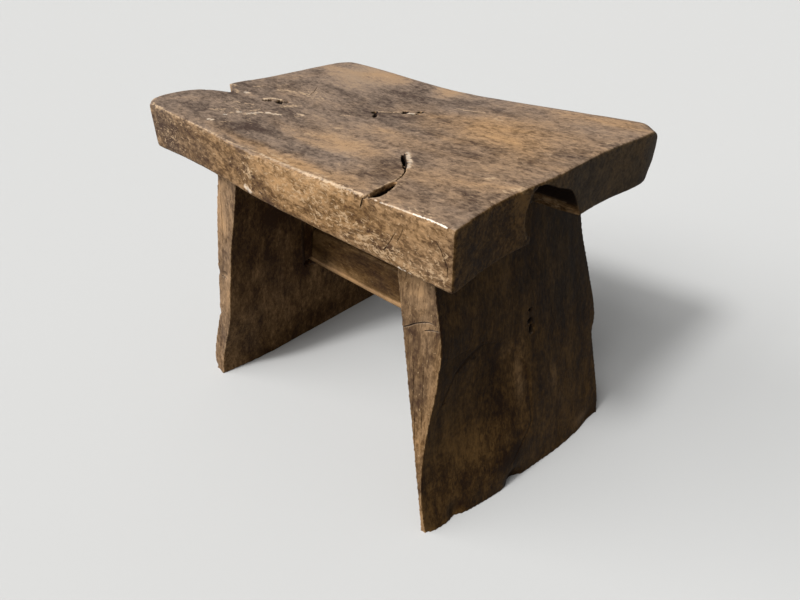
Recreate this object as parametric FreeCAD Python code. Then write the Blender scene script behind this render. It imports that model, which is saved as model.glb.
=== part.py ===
import FreeCAD, Part
import math
import os

from FreeCAD import Vector

# Old stool of four hewn hardwood pieces: a thick dished seat slab, two splayed slab legs
# whose natural edges run up the sides, and one stretcher low between the legs.
# Blind tenons on the legs enter the underside of the seat. The stretcher enters both legs
# whole, without shoulders. Nothing moves.
# Millimetres, +Z up. +X runs along the seat towards the end with the open bite,
# -Y is the front. The pieces are drawn round the middle of the gap between the legs and
# are set down at the end so that the origin is the middle of the whole box, on the floor.

# Seat slab
seat_length = 450.0
seat_width = 324.0
seat_top = 374.0
seat_thickness = 58.0
dish_depth = 10.0
underside_rise = 10.5
front_top_round = 4.0
front_bottom_round = 5.0
back_top_round = 18.0
back_bottom_round = 12.0
end_arris_round = 3.0

# Where the seat is cut across, as shares of its length from the left end, and for each
# cut how much of the dish, of the rise below and of the full width it has there
station_shares = (-0.01, 0.15, 0.30, 0.46, 0.65, 0.83, 1.02)
dish_shares = (0.0, 0.0, 0.45, 1.0, 0.8, 0.5, 0.3)
rise_shares = (1.0, 0.9, 0.75, 0.22, 0.06, 0.0, 0.08)
back_reach_shares = (0.907, 0.913, 0.925, 0.951, 0.962, 0.979, 1.007)

# Ends of the seat in plan, from front to back: share of the length, share of the width
left_end_shares = (
    (0.075, -0.04), (0.047, 0.009), (0.013, 0.046), (0.002, 0.10), (0.004, 0.167),
    (0.020, 0.21), (0.036, 0.26), (0.033, 0.327), (0.033, 0.392), (0.044, 0.46),
    (0.049, 0.537), (0.051, 0.645), (0.056, 0.76), (0.064, 0.83), (0.089, 0.88),
    (0.144, 0.94),
)
right_end_shares = (
    (0.960, 1.04), (0.986, 0.995), (1.002, 0.95), (1.009, 0.89), (1.004, 0.80),
    (0.993, 0.68), (0.990, 0.52), (0.987, 0.36), (0.980, 0.24), (0.982, 0.12),
    (0.990, 0.02), (0.991, -0.04),
)

# Open bite in the right end, low and arched, and the split in the left end
bite_width = 88.0
bite_height = 50.0
bite_depth = 52.0
bite_setback = 94.0
bite_shares = (
    (0.12, 0.17), (0.045, 0.30), (0.01, 0.54), (0.035, 0.78), (0.10, 0.94),
    (0.21, 1.0), (0.34, 0.93), (0.50, 0.80), (0.74, 0.62), (0.87, 0.34), (0.97, 0.10),
)
split_depth = 50.0
split_mouth = 36.0
split_tip = 86.0
split_shares = (
    (-0.5, -0.62), (0.33, -0.38), (0.62, -0.20), (1.0, 0.0), (0.74, 0.25), (0.38, 0.53),
    (-0.5, 0.80),
)

# Cracks, slots and small holes in the seat: place of each as shares of the seat's
# length and width, with its own length, width and depth
crack_length = 60.0
crack_width = 9.0
crack_depth = 30.0
crack_lean = 18.0
crack_sweep = 20.0
crack_place_shares = (0.802, 0.0)
# Along the crack from the front edge: share of its length, of its sweep to the left and
# half of its width there
crack_spine_shares = (
    (-0.04, 0.06, 0.06), (0.02, 0.0, 0.30), (0.08, 0.0, 0.48), (0.20, 0.04, 0.50),
    (0.34, 0.10, 0.42), (0.46, 0.20, 0.27), (0.54, 0.27, 0.14), (0.66, 0.42, 0.05),
    (0.80, 0.64, 0.04), (1.0, 1.0, 0.04),
)
knot_length = 34.0
knot_width = 6.0
knot_depth = 26.0
knot_place_shares = (0.721, 0.242)
knot_turn_deg = 136.0
slot_length = 14.0
slot_width = 3.4
slot_depth = 16.0
slot_turn_deg = 12.0
slot_place_shares = ((0.219, 0.307), (0.256, 0.321))
pith_length = 8.0
pith_width = 4.6
pith_depth = 14.0
pith_turn_deg = 118.0
pith_place_shares = ((0.442, 0.511), (0.493, 0.585), (0.519, 0.619))

# Legs, both: how far the inner face of each stands in from its end of the seat and their
# front edges from the front of the seat, and how far they lean outwards down to the floor
left_leg_setback = 110.2
right_leg_setback = 100.2
leg_lean = 61.7
leg_front_setback = 39.0
leg_front_lean = 27.5
# Extra length above the highest place of the seat's underside, from which the shoulders
# are scribed, and how far the drawn faces of a leg run on past its outline
shoulder_allowance = 11.5
sheet_margin = 6.0

# Right leg: thick slab, hollowed by a broad scoop low on its outer face. The rows run from
# the floor to the top, the columns from the front edge to the back edge, both evenly:
# how much of the thickness is left there
right_leg_thickness = 44.8
right_back_setback = 51.0
right_back_lean = 29.5
right_outer_shares = (
    (0.16, 0.30, 0.52, 0.68, 0.72, 0.92, 1.00, 1.04, 1.04),
    (0.05, 0.30, 0.62, 0.90, 0.88, 0.97, 1.00, 1.02, 1.02),
    (0.10, 0.32, 0.60, 0.88, 1.02, 1.00, 1.00, 1.00, 1.00),
    (0.26, 0.38, 0.56, 0.80, 1.03, 1.00, 1.00, 1.00, 1.00),
    (0.48, 0.50, 0.60, 0.80, 1.03, 1.00, 1.00, 1.00, 1.00),
    (0.74, 0.66, 0.68, 0.82, 1.04, 1.00, 1.00, 1.00, 0.98),
    (0.98, 0.88, 0.90, 1.02, 1.00, 1.00, 1.00, 0.98, 0.97),
    (1.10, 1.04, 1.02, 1.00, 1.00, 1.00, 1.00, 0.98, 0.97),
    (0.98, 1.00, 1.00, 1.00, 1.00, 1.00, 1.00, 1.00, 0.97),
    (0.98, 1.00, 1.00, 1.00, 1.00, 1.00, 1.00, 1.00, 0.98),
    (0.98, 1.00, 1.00, 1.00, 1.00, 1.00, 1.00, 1.00, 0.98),
)
right_inner_shares = ((0.0, 0.0), (0.0, 0.0))

# Natural back edge: share of the leg's height, and how far it stands out there as a share
# of its lean down to the floor
right_back_shares = (
    (-0.1, 1.0), (0.0, 1.0), (0.09, 1.08), (0.16, 1.01), (0.28, 0.85), (0.345, 0.75),
    (0.39, 0.74), (0.425, 0.93), (0.46, 0.97), (0.51, 0.91), (0.60, 0.68), (0.70, 0.40),
    (0.81, 0.09), (0.88, 0.0), (1.1, 0.0),
)

# Left leg: thinner slab, worn hollow at half height and at its inner front foot
left_leg_thickness = 36.0
left_back_setback = 52.0
left_back_lean = 29.0
left_outer_shares = (
    (0.80, 0.96, 1.00, 1.00, 1.00, 0.98, 0.96),
    (0.93, 1.00, 1.00, 1.03, 1.00, 1.00, 0.96),
    (0.78, 0.94, 1.00, 1.03, 1.02, 1.00, 0.98),
    (0.56, 0.84, 1.00, 1.02, 1.02, 1.00, 1.00),
    (0.64, 0.84, 0.98, 1.00, 1.00, 1.00, 1.00),
    (0.77, 0.92, 1.00, 1.00, 1.00, 1.00, 1.00),
    (0.80, 0.98, 1.00, 1.00, 1.00, 1.00, 0.98),
    (0.88, 1.00, 1.00, 1.00, 1.00, 1.00, 0.97),
    (0.88, 1.00, 1.00, 1.00, 1.00, 1.00, 0.96),
    (0.88, 1.00, 1.00, 1.00, 1.00, 1.00, 0.96),
    (0.88, 1.00, 1.00, 1.00, 1.00, 1.00, 0.96),
)
left_inner_shares = (
    (0.26, 0.0, 0.0, 0.0, 0.0, 0.0, 0.0),
    (0.36, 0.0, 0.0, 0.0, 0.0, 0.0, 0.0),
    (0.12, 0.0, 0.0, 0.0, 0.0, 0.0, 0.0),
    (-0.15, 0.0, 0.0, 0.0, 0.0, 0.0, 0.0),
    (-0.02, 0.0, 0.0, 0.0, 0.0, 0.0, 0.0),
    (-0.04, 0.0, 0.0, 0.0, 0.0, 0.0, 0.0),
    (0.03, 0.0, 0.0, 0.0, 0.0, 0.0, 0.0),
    (-0.10, 0.0, 0.0, 0.0, 0.0, 0.0, 0.0),
    (-0.16, 0.0, 0.0, 0.0, 0.0, 0.0, 0.0),
    (-0.16, 0.0, 0.0, 0.0, 0.0, 0.0, 0.0),
    (-0.16, 0.0, 0.0, 0.0, 0.0, 0.0, 0.0),
)
left_back_shares = (
    (-0.1, 0.9), (0.0, 0.94), (0.12, 1.04), (0.25, 1.02), (0.38, 0.86), (0.50, 0.84),
    (0.62, 0.62), (0.76, 0.22), (0.90, 0.04), (1.1, 0.0),
)

# Blind tenon on the top of each leg
tenon_thickness = 22.0
tenon_width = 120.0
tenon_length = 26.0
tenon_setback = 10.0

# Stretcher between the legs, worn round along its lower front edge, and the rough pocket
# beside its left end
stretcher_thickness = 29.0
stretcher_height = 60.0
stretcher_floor_gap = 127.0
stretcher_setback = 157.0
stretcher_entry = 18.0
stretcher_worn_round = 13.0
stretcher_edge_round = 5.0
chip_length = 26.0
chip_height = 15.0
chip_depth = 9.0

# Wormholes in the outer face of the right leg
wormhole_diameters = (6.0, 4.4, 3.2)
wormhole_heights = (187.5, 196.0, 206.5)
wormhole_setback = 169.0
wormhole_depth = 12.0

# Fit of every tenon and stretcher end in its mortise, and one overrun for all cuts
joint_clearance = 0.3
overrun = 20.0

# Places that follow from the sizes above
seat_bottom = seat_top - seat_thickness
seat_front = -seat_width / 2
leg_height = seat_bottom
blank_height = leg_height + underside_rise + shoulder_allowance
leg_inner_top = (seat_length - left_leg_setback - right_leg_setback) / 2
leg_inner_floor = leg_inner_top + leg_lean
leg_front_top = seat_front + leg_front_setback
seat_left = -leg_inner_top - left_leg_setback
right_back_top = seat_width / 2 - right_back_setback
left_back_top = seat_width / 2 - left_back_setback
stretcher_front = seat_front + stretcher_setback


def at_seat(length_share, width_share, height):
    """Point over the seat's plan, from its left end and its front face."""
    x = seat_left + length_share * seat_length
    y = seat_front + width_share * seat_width
    return Vector(x, y, height)


def inner_x(height):
    """Distance of a leg's inner face from the middle of the gap between the legs."""
    return leg_inner_floor - leg_lean * height / leg_height


def leg_front(height):
    """Place of a leg's front edge."""
    return leg_front_top - leg_front_lean * (1 - height / leg_height)


def spline(points):
    """Smooth open curve through the points."""
    curve = Part.BSplineCurve()
    curve.interpolate(points)
    return curve.toShape()


def polygon_prism(points, direction):
    """Straight-sided prism on a closed outline."""
    outline = Part.makePolygon(points + [points[0]])
    return Part.Face(outline).extrude(direction)


def oval_pocket(centre, length, width, depth, turn_deg):
    """Upright pocket with a lens-shaped outline, closed by two arcs at its tips."""
    half = length / 2
    side = width / 2
    tips = (Vector(-half, 0, 0), Vector(half, 0, 0))
    upper = Part.Arc(tips[0], Vector(0, side, 0), tips[1]).toShape()
    lower = Part.Arc(tips[1], Vector(0, -side, 0), tips[0]).toShape()
    pocket = Part.Face(Part.Wire([upper, lower])).extrude(Vector(0, 0, depth + overrun))
    pocket.rotate(Vector(0, 0, 0), Vector(0, 0, 1), turn_deg)
    pocket.translate(centre - Vector(0, 0, depth))
    return pocket


def corner(centre, radius, start_deg):
    """Quarter arc in the plane across the stool, running on from the start angle."""
    points = []
    for turn_deg in (0, 45, 90):
        angle = math.radians(start_deg + turn_deg)
        reach = Vector(0, math.cos(angle), math.sin(angle))
        points.append(centre + reach * radius)
    return Part.Arc(*points).toShape()


def rounded_outline(x, corners):
    """Closed outline across the stool, given the middle and radius of each corner."""
    arcs = [corner(Vector(x, y, z), radius, start_deg) for y, z, radius, start_deg in corners]
    edges = []
    for index, arc in enumerate(arcs):
        following = arcs[(index + 1) % len(arcs)]
        edges.append(arc)
        edges.append(Part.makeLine(arc.Vertexes[1].Point, following.Vertexes[0].Point))
    return Part.Wire(edges)


def seat_section(station, dish, rise, reach):
    """Closed outline across the seat at one station, its four corners rounded."""
    x = seat_left + station * seat_length
    back = seat_front + reach * seat_width
    top = seat_top - dish * dish_depth
    bottom = seat_bottom + rise * underside_rise
    return rounded_outline(x, (
        (back - back_bottom_round, bottom + back_bottom_round, back_bottom_round, 270),
        (back - back_top_round, top - back_top_round, back_top_round, 0),
        (seat_front + front_top_round, top - front_top_round, front_top_round, 90),
        (seat_front + front_bottom_round, bottom + front_bottom_round, front_bottom_round, 180),
    ))


def is_end_arris(edge):
    """Long edge across an end of the seat, along its top or its underside."""
    box = edge.BoundBox
    from_left = abs(box.XMin - seat_left)
    from_right = abs(box.XMax - seat_left - seat_length)
    at_end = min(from_left, from_right) < seat_thickness
    return at_end and box.YLength > seat_width / 2 and box.XLength < seat_length / 4


def seat_blank():
    """Slab with its dish, its rounded long edges and its worn ends, before any joint."""
    rows = zip(station_shares, dish_shares, rise_shares, back_reach_shares)
    slab = Part.makeLoft([seat_section(*row) for row in rows], True, False)
    floor = seat_bottom - overrun
    left = [at_seat(along, across, floor) for along, across in left_end_shares]
    right = [at_seat(along, across, floor) for along, across in right_end_shares]
    outline = Part.Wire([
        spline(left),
        Part.makeLine(left[-1], right[0]),
        spline(right),
        Part.makeLine(right[-1], left[0]),
    ])
    plan = Part.Face(outline).extrude(Vector(0, 0, seat_thickness + 2 * overrun))
    slab = slab.common(plan)
    arrises = [edge for edge in slab.Edges if is_end_arris(edge)]
    return slab.makeFillet(end_arris_round, arrises)


def end_bite():
    """Low arched hollow cut into the right end, open below and at the end."""
    x = seat_left + seat_length - bite_depth
    front = seat_front + bite_setback
    points = [Vector(x, front + across * bite_width, seat_bottom + up * bite_height)
              for across, up in bite_shares]
    below = [Vector(x, points[0].y, seat_bottom - overrun), points[0]]
    last = Vector(x, points[-1].y, seat_bottom - overrun)
    outline = Part.Wire([
        Part.makeLine(below[0], below[1]),
        spline(points),
        Part.makeLine(points[-1], last),
        Part.makeLine(last, below[0]),
    ])
    return Part.Face(outline).extrude(Vector(bite_depth + overrun, 0, 0))


def end_split():
    """Wedge where the left end has split open along the grain, right through."""
    points = [Vector(seat_left + along * split_depth,
                     seat_front + split_tip + across * split_mouth,
                     seat_bottom - overrun)
              for along, across in split_shares]
    return polygon_prism(points, Vector(0, 0, seat_thickness + 2 * overrun))


def seat_crack():
    """Curved check that opens over the front edge and closes towards the knot."""
    depth = crack_depth + dish_depth + overrun
    lean = crack_lean / crack_depth
    origin = at_seat(*crack_place_shares, seat_top - dish_depth - crack_depth)
    origin += Vector(0, lean * (crack_depth + dish_depth), 0)
    left = []
    right = []
    for along, sweep, half in crack_spine_shares:
        spine = origin + Vector(-sweep * crack_sweep, along * crack_length, 0)
        left.append(spine - Vector(half * crack_width, 0, 0))
        right.append(spine + Vector(half * crack_width, 0, 0))
    return polygon_prism(right + left[::-1], Vector(0, -lean * depth, depth))


def seat_pockets():
    """Knot slot, the two slots behind the split, and the small pith holes."""
    kinds = [(knot_place_shares, knot_length, knot_width, knot_depth, knot_turn_deg)]
    for place in slot_place_shares:
        kinds.append((place, slot_length, slot_width, slot_depth, slot_turn_deg))
    for place in pith_place_shares:
        kinds.append((place, pith_length, pith_width, pith_depth, pith_turn_deg))
    level = seat_top - dish_depth
    return [oval_pocket(at_seat(*place, level), length, width, depth, turn)
            for place, length, width, depth, turn in kinds]


def tenon(side, back_top, clearance):
    """Blind tenon that follows a leg's lean up into the seat, or its mortise."""
    foot = leg_height - overrun
    tip = leg_height + tenon_length + clearance
    slack = clearance / math.cos(math.atan(leg_lean / leg_height))
    near = inner_x(foot) + tenon_setback - slack
    near_tip = inner_x(tip) + tenon_setback - slack
    thick = tenon_thickness + 2 * slack
    middle = (leg_front(leg_height) + back_top) / 2
    front = middle - tenon_width / 2 - clearance
    points = [
        Vector(side * near, front, foot),
        Vector(side * (near + thick), front, foot),
        Vector(side * (near_tip + thick), front, tip),
        Vector(side * near_tip, front, tip),
    ]
    return polygon_prism(points, Vector(0, tenon_width + 2 * clearance, 0))


def pole_sheet(rows):
    """Smooth sheet drawn by a net of points, which it meets along its four edges."""
    degrees = []
    mults = []
    knots = []
    for count in (len(rows), len(rows[0])):
        degree = min(3, count - 1)
        inner = count - degree - 1
        degrees.append(degree)
        mults.append([degree + 1] + [1] * inner + [degree + 1])
        knots.append([float(step) for step in range(inner + 2)])
    sheet = Part.BSplineSurface()
    sheet.buildFromPolesMultsKnots(
        rows, mults[0], mults[1], knots[0], knots[1], False, False, degrees[0], degrees[1])
    return sheet.toShape()


def side_of_sheet(side, thickness, shares, back, reach):
    """Solid that lies to one side of a leg's inner or outer face."""
    rows = []
    for row, row_shares in enumerate(shares):
        up = row / (len(shares) - 1)
        height = up * (blank_height + 2 * sheet_margin) - sheet_margin
        front = leg_front(height) - sheet_margin
        points = []
        for column, share in enumerate(row_shares):
            along = column / (len(row_shares) - 1)
            y = front + along * (back + sheet_margin - front)
            points.append(Vector(side * (inner_x(height) + share * thickness), y, height))
        rows.append(points)
    return pole_sheet(rows).extrude(Vector(reach, 0, 0))


def leg_outline(side, back_shares, back_lean, back_top):
    """Prism on a leg's outline seen from the end, with its natural back edge."""
    backs = [Vector(0, back_top + out * back_lean, up * leg_height) for up, out in back_shares]
    low = Vector(0, leg_front(backs[0].z), backs[0].z)
    high = Vector(0, leg_front(backs[-1].z), backs[-1].z)
    outline = Part.Wire([
        Part.makeLine(low, backs[0]),
        spline(backs),
        Part.makeLine(backs[-1], high),
        Part.makeLine(high, low),
    ])
    return Part.Face(outline).extrude(Vector(side * 2 * leg_inner_floor, 0, 0))


def leg_blank(side, thickness, outer_shares, inner_shares, back_shares, back_lean, back_top):
    """Leg slab from the floor to inside the seat, cut from its outline by its two faces."""
    outline = leg_outline(side, back_shares, back_lean, back_top)
    back = back_top + back_lean + sheet_margin
    reach = side * 2 * leg_inner_floor
    within = side_of_sheet(side, thickness, outer_shares, back, -reach)
    beyond = side_of_sheet(side, thickness, inner_shares, back, reach)
    slab = outline.common([within]).common([beyond])
    depth = 2 * seat_width
    level = polygon_prism([
        Vector(0, -depth, 0),
        Vector(reach, -depth, 0),
        Vector(reach, depth, 0),
        Vector(0, depth, 0),
    ], Vector(0, 0, blank_height))
    return slab.common([level])


def finished_leg(blank, seat, side, back_top):
    """Leg scribed to the underside of the seat, with its tenon."""
    shouldered = blank.cut(seat)
    return shouldered.fuse(tenon(side, back_top, 0)).removeSplitter()


def stretcher_outline(x, clearance):
    """Outline across the stretcher, its lower front edge worn round."""
    front = stretcher_front - clearance
    back = stretcher_front + stretcher_thickness + clearance
    bottom = stretcher_floor_gap - clearance
    top = stretcher_floor_gap + stretcher_height + clearance
    edge = stretcher_edge_round + clearance
    worn = stretcher_worn_round + clearance
    return rounded_outline(x, (
        (back - edge, bottom + edge, edge, 270),
        (back - edge, top - edge, edge, 0),
        (front + edge, top - edge, edge, 90),
        (front + worn, bottom + worn, worn, 180),
    ))


def stretcher_bar(clearance):
    """Stretcher cut at both ends to the lean of the legs, or the space that it fills."""
    low = inner_x(0) + stretcher_entry + clearance
    high = inner_x(leg_height) + stretcher_entry + clearance
    bar = Part.Face(stretcher_outline(-low, clearance)).extrude(Vector(2 * low, 0, 0))
    front = stretcher_front - overrun
    lean = polygon_prism([
        Vector(-low, front, 0),
        Vector(low, front, 0),
        Vector(high, front, leg_height),
        Vector(-high, front, leg_height),
    ], Vector(0, stretcher_thickness + 2 * overrun, 0))
    return bar.common(lean)


def mortise_chip():
    """Hollow torn out of the left leg beside the lower front corner of the stretcher."""
    height = stretcher_floor_gap + chip_height / 2
    chip = Part.makeSphere(chip_length / 2)
    squash = FreeCAD.Matrix()
    squash.scale(2 * chip_depth / chip_length, 1, chip_height / chip_length)
    chip = chip.transformGeometry(squash)
    chip.translate(Vector(-inner_x(height), stretcher_front, height))
    return chip


def wormholes():
    """Small round holes bored into the outer face of the right leg."""
    holes = []
    for diameter, height in zip(wormhole_diameters, wormhole_heights):
        depth = wormhole_depth + overrun
        start = inner_x(height) + right_leg_thickness - wormhole_depth
        foot = Vector(start, seat_front + wormhole_setback, height)
        holes.append(Part.makeCylinder(diameter / 2, depth, foot, Vector(1, 0, 0)))
    return holes


def build_pieces():
    """All pieces of the stool, drawn round the middle of the seat."""
    slab = seat_blank()
    right_blank = leg_blank(
        1, right_leg_thickness, right_outer_shares, right_inner_shares,
        right_back_shares, right_back_lean, right_back_top)
    left_blank = leg_blank(
        -1, left_leg_thickness, left_outer_shares, left_inner_shares,
        left_back_shares, left_back_lean, left_back_top)
    mortise = stretcher_bar(joint_clearance)
    right_leg = finished_leg(right_blank, slab, 1, right_back_top)
    right_leg = right_leg.cut([mortise] + wormholes())
    left_leg = finished_leg(left_blank, slab, -1, left_back_top)
    left_leg = left_leg.cut([mortise, mortise_chip()])
    mortises = [
        tenon(-1, left_back_top, joint_clearance),
        tenon(1, right_back_top, joint_clearance),
    ]
    seat = slab.cut([end_bite(), end_split(), seat_crack()] + seat_pockets() + mortises)
    return {
        "seat": seat,
        "left_leg": left_leg,
        "right_leg": right_leg,
        "stretcher": stretcher_bar(0),
    }


def set_down(pieces):
    """Move all pieces alike, so that the origin is the middle of their box on the floor."""
    box = FreeCAD.BoundBox()
    for shape in pieces.values():
        box.add(shape.optimalBoundingBox(False, False))
    shift = Vector(-box.Center.x, -box.Center.y, -box.ZMin)
    for shape in pieces.values():
        shape.translate(shift)
    return shift


pieces = build_pieces()
shift = set_down(pieces)
os.makedirs("parts", exist_ok=True)
for name, shape in pieces.items():
    shape.exportStep("parts/" + name + ".step")
    box = shape.optimalBoundingBox(False, False)
    sizes = (box.XMin, box.XMax, box.YMin, box.YMax, box.ZMin, box.ZMax)
    print(name, len(shape.Solids), shape.isValid(), round(shape.Volume),
          [round(value, 2) for value in sizes])
print("moved by", [round(value, 3) for value in shift])
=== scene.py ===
import math
from functools import partial

import bmesh
import bpy
import numpy as np
from bpy.props import FloatProperty, FloatVectorProperty, IntProperty, PointerProperty
from mathutils import Matrix, Vector
from mathutils.bvhtree import BVHTree


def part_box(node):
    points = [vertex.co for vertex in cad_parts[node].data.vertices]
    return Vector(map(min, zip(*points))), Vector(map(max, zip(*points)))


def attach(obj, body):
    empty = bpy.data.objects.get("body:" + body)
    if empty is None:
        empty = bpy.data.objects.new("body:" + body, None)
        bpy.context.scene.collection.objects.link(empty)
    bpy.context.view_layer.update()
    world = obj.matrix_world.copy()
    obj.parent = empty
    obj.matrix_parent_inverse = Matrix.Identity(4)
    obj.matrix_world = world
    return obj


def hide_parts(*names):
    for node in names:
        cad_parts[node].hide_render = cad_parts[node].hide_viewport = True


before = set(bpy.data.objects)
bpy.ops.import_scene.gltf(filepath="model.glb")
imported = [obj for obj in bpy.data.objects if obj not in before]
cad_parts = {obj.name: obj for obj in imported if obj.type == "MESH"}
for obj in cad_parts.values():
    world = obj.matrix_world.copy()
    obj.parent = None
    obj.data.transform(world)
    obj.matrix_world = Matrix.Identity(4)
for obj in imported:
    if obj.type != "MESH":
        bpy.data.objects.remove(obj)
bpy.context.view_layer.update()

bl_info = {
    "name": "Hewn Slab Stool",
    "version": (1, 0, 0),
    "blender": (4, 5, 0),
    "location": "View3D > Sidebar > Stool",
    "description": "Weathers the slabs of a joined stool and lights it in a plain studio",
    "category": "Add Mesh",
}

MM = 0.001
HALF_FLOOR = 30.0

# The camera that took the photograph, fitted to the stool's corners: its turn, height and roll in degrees,
# its place in metres, its focal length and the photograph's width in pixels, and the sensor's in millimetres.
CAMERA_ANGLES = (43.744, 33.631, -0.271)
CAMERA_PLACE = (0.43789, -0.44695, 0.55343)
FOCAL_PIXELS, PHOTO_WIDTH, SENSOR_WIDTH = 601.74, 800, 36.0

# In millimetres: the seat's front face, and the legs' front faces and the right leg's outer face,
# each as its place at the floor and how far it moves for each millimetre of height.
SEAT_FRONT = -162.3
LEG_FRONT, LEG_FRONT_LEAN = -150.8, 0.0872
LEG_OUTER, LEG_OUTER_LEAN = 226.3, -0.1924
# The seat's back right corner, and the way along the round of its plan.
CORNER, CORNER_WAY = (220, 148), (-0.48, 0.88)
# The insect holes in the right leg's outer face, as y, z and radius, and how far into the wood they go.
WORM_HOLES, WORM_REACH = ((6.7, 187.5, 3.0), (6.7, 196.0, 2.2), (6.7, 206.5, 1.6)), 25
# The middle of the scoop low on the same face, as y and z.
SCOOP_MIDDLE = (-60.0, 130.0)
# A drawn line is dropped on the skin from this far above, and looks for it over this reach.
DRAWN_ABOVE, DRAWN_REACH = 2.5, 4.7
# No edge beside a cut or lip is split further once it is this short.
FINEST_EDGE = 0.75
# Corners nearer than this, in metres, are one corner.
SAME_PLACE = 1e-6

# How black the painted shade on the wall of a hole is, and the colour of the brightest chips and of the
# painted highlights along lit edges.
HOLE_SHADE = 0.97
CHALK_AND_GLINT = (0.78, 0.7, 0.6, 1.0)
# How strongly fibres, streaks, bands, clouds, blotches and mottle lighten and darken each kind of slab.
SEAT_WEIGHTS = (0.35, 0.35, 0.5, 1.1, 1.3, 2.2)
LEG_WEIGHTS = (0.65, 0.7, 0.7, 0.9, 1.0, 1.4)
STRETCHER_WEIGHTS = (0.5, 0.5, 0.35, 0.7, 0.9, 0.9)
# Noises as a name, a stretch along the grain and across it, a scale, detail, roughness and distortion.
WOOD_FIGURE = (
    ("Fibres", (60, 640, 640), 1.0, 4.0, 0.6, 0.15), ("Streaks", (16, 80, 80), 1.0, 5.0, 0.62, 0.8),
    ("Bands", (4, 30, 30), 1.0, 3.0, 0.5, 1.6),
)
HAND_PATINA = (
    ("Clouds", (1, 1, 1), 17.0, 5.0, 0.6, 0.6), ("Blotches", (1, 1, 1), 62.0, 5.0, 0.65, 0.9),
    ("Mottle", (1, 1, 1), 260.0, 6.0, 0.72, 0.5),
)
PATINA_STRETCH = (0.6, 1.0, 1.0)
# The turn that lays a slab's grain along X, and the worn grain's cells per metre along x, y and z.
LEVEL, UPRIGHT = (0.0, 0.0, 0.0), (0.0, math.radians(90), 0.0)
LEVEL_GRAIN, UPRIGHT_GRAIN = (14, 120, 120), (120, 120, 14)

# Zones are soft ellipses on one face, in millimetres:
# two middle coordinates, two reaches, and how much lighter or darker the wood is there; the tables named for
# light and shade also hold painted light and shade.
TOP_TONES = (
    (-112, 104, 42, 30, 1.3), (-125, 62, 38, 26, 0.8), (-155, 95, 26, 26, 0.5),
    (-24, 116, 20, 26, 1.1), (-112, -6, 30, 14, 0.45), (62, 60, 26, 12, 0.3),
    (105, 58, 36, 22, 0.35), (152, 26, 48, 24, 0.5), (176, 42, 24, 20, 0.35),
    (82, 12, 48, 18, 0.35), (48, -46, 58, 14, 0.6), (18, -86, 46, 18, 0.85),
    (52, -108, 34, 16, 0.3), (20, -148, 80, 9, 0.45), (-146, -66, 16, 6, 0.7),
    (-186, 8, 18, 26, 0.2), (-188, -116, 14, 24, 0.3), (-118, -106, 36, 20, 0.25),
    (196, 132, 34, 12, 0.15), (186, -120, 26, 22, -0.3), (150, -70, 26, 14, 0.1),
    (118, -62, 30, 16, -0.25), (-8, -40, 30, 12, 0.2),
    (-166, -22, 36, 26, -0.6), (-138, -74, 44, 16, -0.4), (-76, -120, 26, 24, -0.6),
    (-48, 74, 30, 26, -0.4), (-12, 62, 24, 30, -0.3), (-62, 10, 42, 22, -0.4),
    (-22, -4, 26, 18, -0.45), (132, -36, 62, 11, -0.5), (96, -104, 18, 26, -0.75),
    (102, -134, 30, 12, -0.35), (-176, 52, 20, 16, -0.45), (150, 112, 64, 12, -0.2),
    (6, 20, 16, 14, -0.3), (-178, -98, 22, 20, -0.25), (-150, -140, 40, 10, -0.2),
)
FRONT_TONES = (
    (-196, 344, 34, 20, -0.65), (-150, 340, 30, 22, -0.35), (-172, 326, 22, 8, -0.3),
    (-72, 352, 60, 10, -0.1), (-20, 346, 40, 12, -0.25), (20, 346, 50, 16, 0.5), (88, 350, 36, 12, -0.2),
    (110, 330, 60, 10, 0.15), (196, 342, 18, 20, 0.12), (150, 352, 26, 10, -0.1),
    (-46, 327, 22, 6, 0.2), (70, 358, 30, 6, 0.2), (4, 328, 40, 7, -0.15),
    (-128, 360, 40, 6, -0.3), (118, 356, 20, 6, -0.15), (176, 326, 20, 6, 0.3),
)
END_TONES = (
    (-134, 344, 22, 24, -0.12), (-96, 340, 30, 26, -0.22), (70, 348, 60, 18, 0.15),
    (120, 340, 30, 22, -0.15), (-60, 352, 20, 14, 0.1),
)
# The right leg's outer face; the dark zone at the foot of the scoop is painted shadow.
RIGHT_OUTER_TONES_AND_SHADE = (
    (-110, 110, 34, 40, 0.35), (-80, 84, 26, 22, 0.35), (-14, 138, 8, 36, 0.75),
    (46, 108, 7, 22, 0.5), (74, 124, 12, 12, 0.4), (104, 12, 14, 10, 0.6),
    (-10, 40, 8, 30, 0.35), (24, 40, 18, 26, 0.25), (-84, 246, 10, 14, 0.3),
    (-42, 250, 14, 12, 0.2), (-120, 236, 20, 26, -0.2), (-52, 168, 12, 18, -0.45),
    (-44, 116, 12, 16, -0.4), (-36, 46, 24, 12, -0.7), (66, 210, 46, 44, -0.25),
    (112, 160, 26, 40, -0.1), (-90, 196, 40, 10, -0.3), (10, 250, 24, 40, 0.05),
    (-146, 62, 5, 8, -0.9), (100, 60, 26, 40, 0.1),
)
# Places on the right leg's outer face where less painted shade is laid.
RIM_LESS_SHADE = ((-12, 142, 9, 30, 1.0), (-24, 176, 14, 10, 0.6), (46, 108, 7, 22, 0.5), (104, 14, 14, 9, 0.8))
RIGHT_NARROW_TONES = (
    (150, 276, 26, 26, 0.25), (150, 200, 30, 40, 0.0), (190, 60, 26, 40, 0.02),
    (168, 120, 10, 40, 0.1), (154, 278, 3, 16, 0.7), (206, 12, 14, 14, -0.25),
)
# The left leg's narrow front face; the dark zone just under the seat is the seat's shadow, painted.
LEFT_NARROW_TONES_AND_SHADE = (
    (-150, 270, 20, 40, 0.35), (-164, 190, 14, 30, 0.0), (-172, 120, 14, 26, 0.2),
    (-186, 60, 20, 40, -0.1), (-150, 304, 30, 8, -0.5), (-160, 164, 8, 6, 0.5),
)
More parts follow.
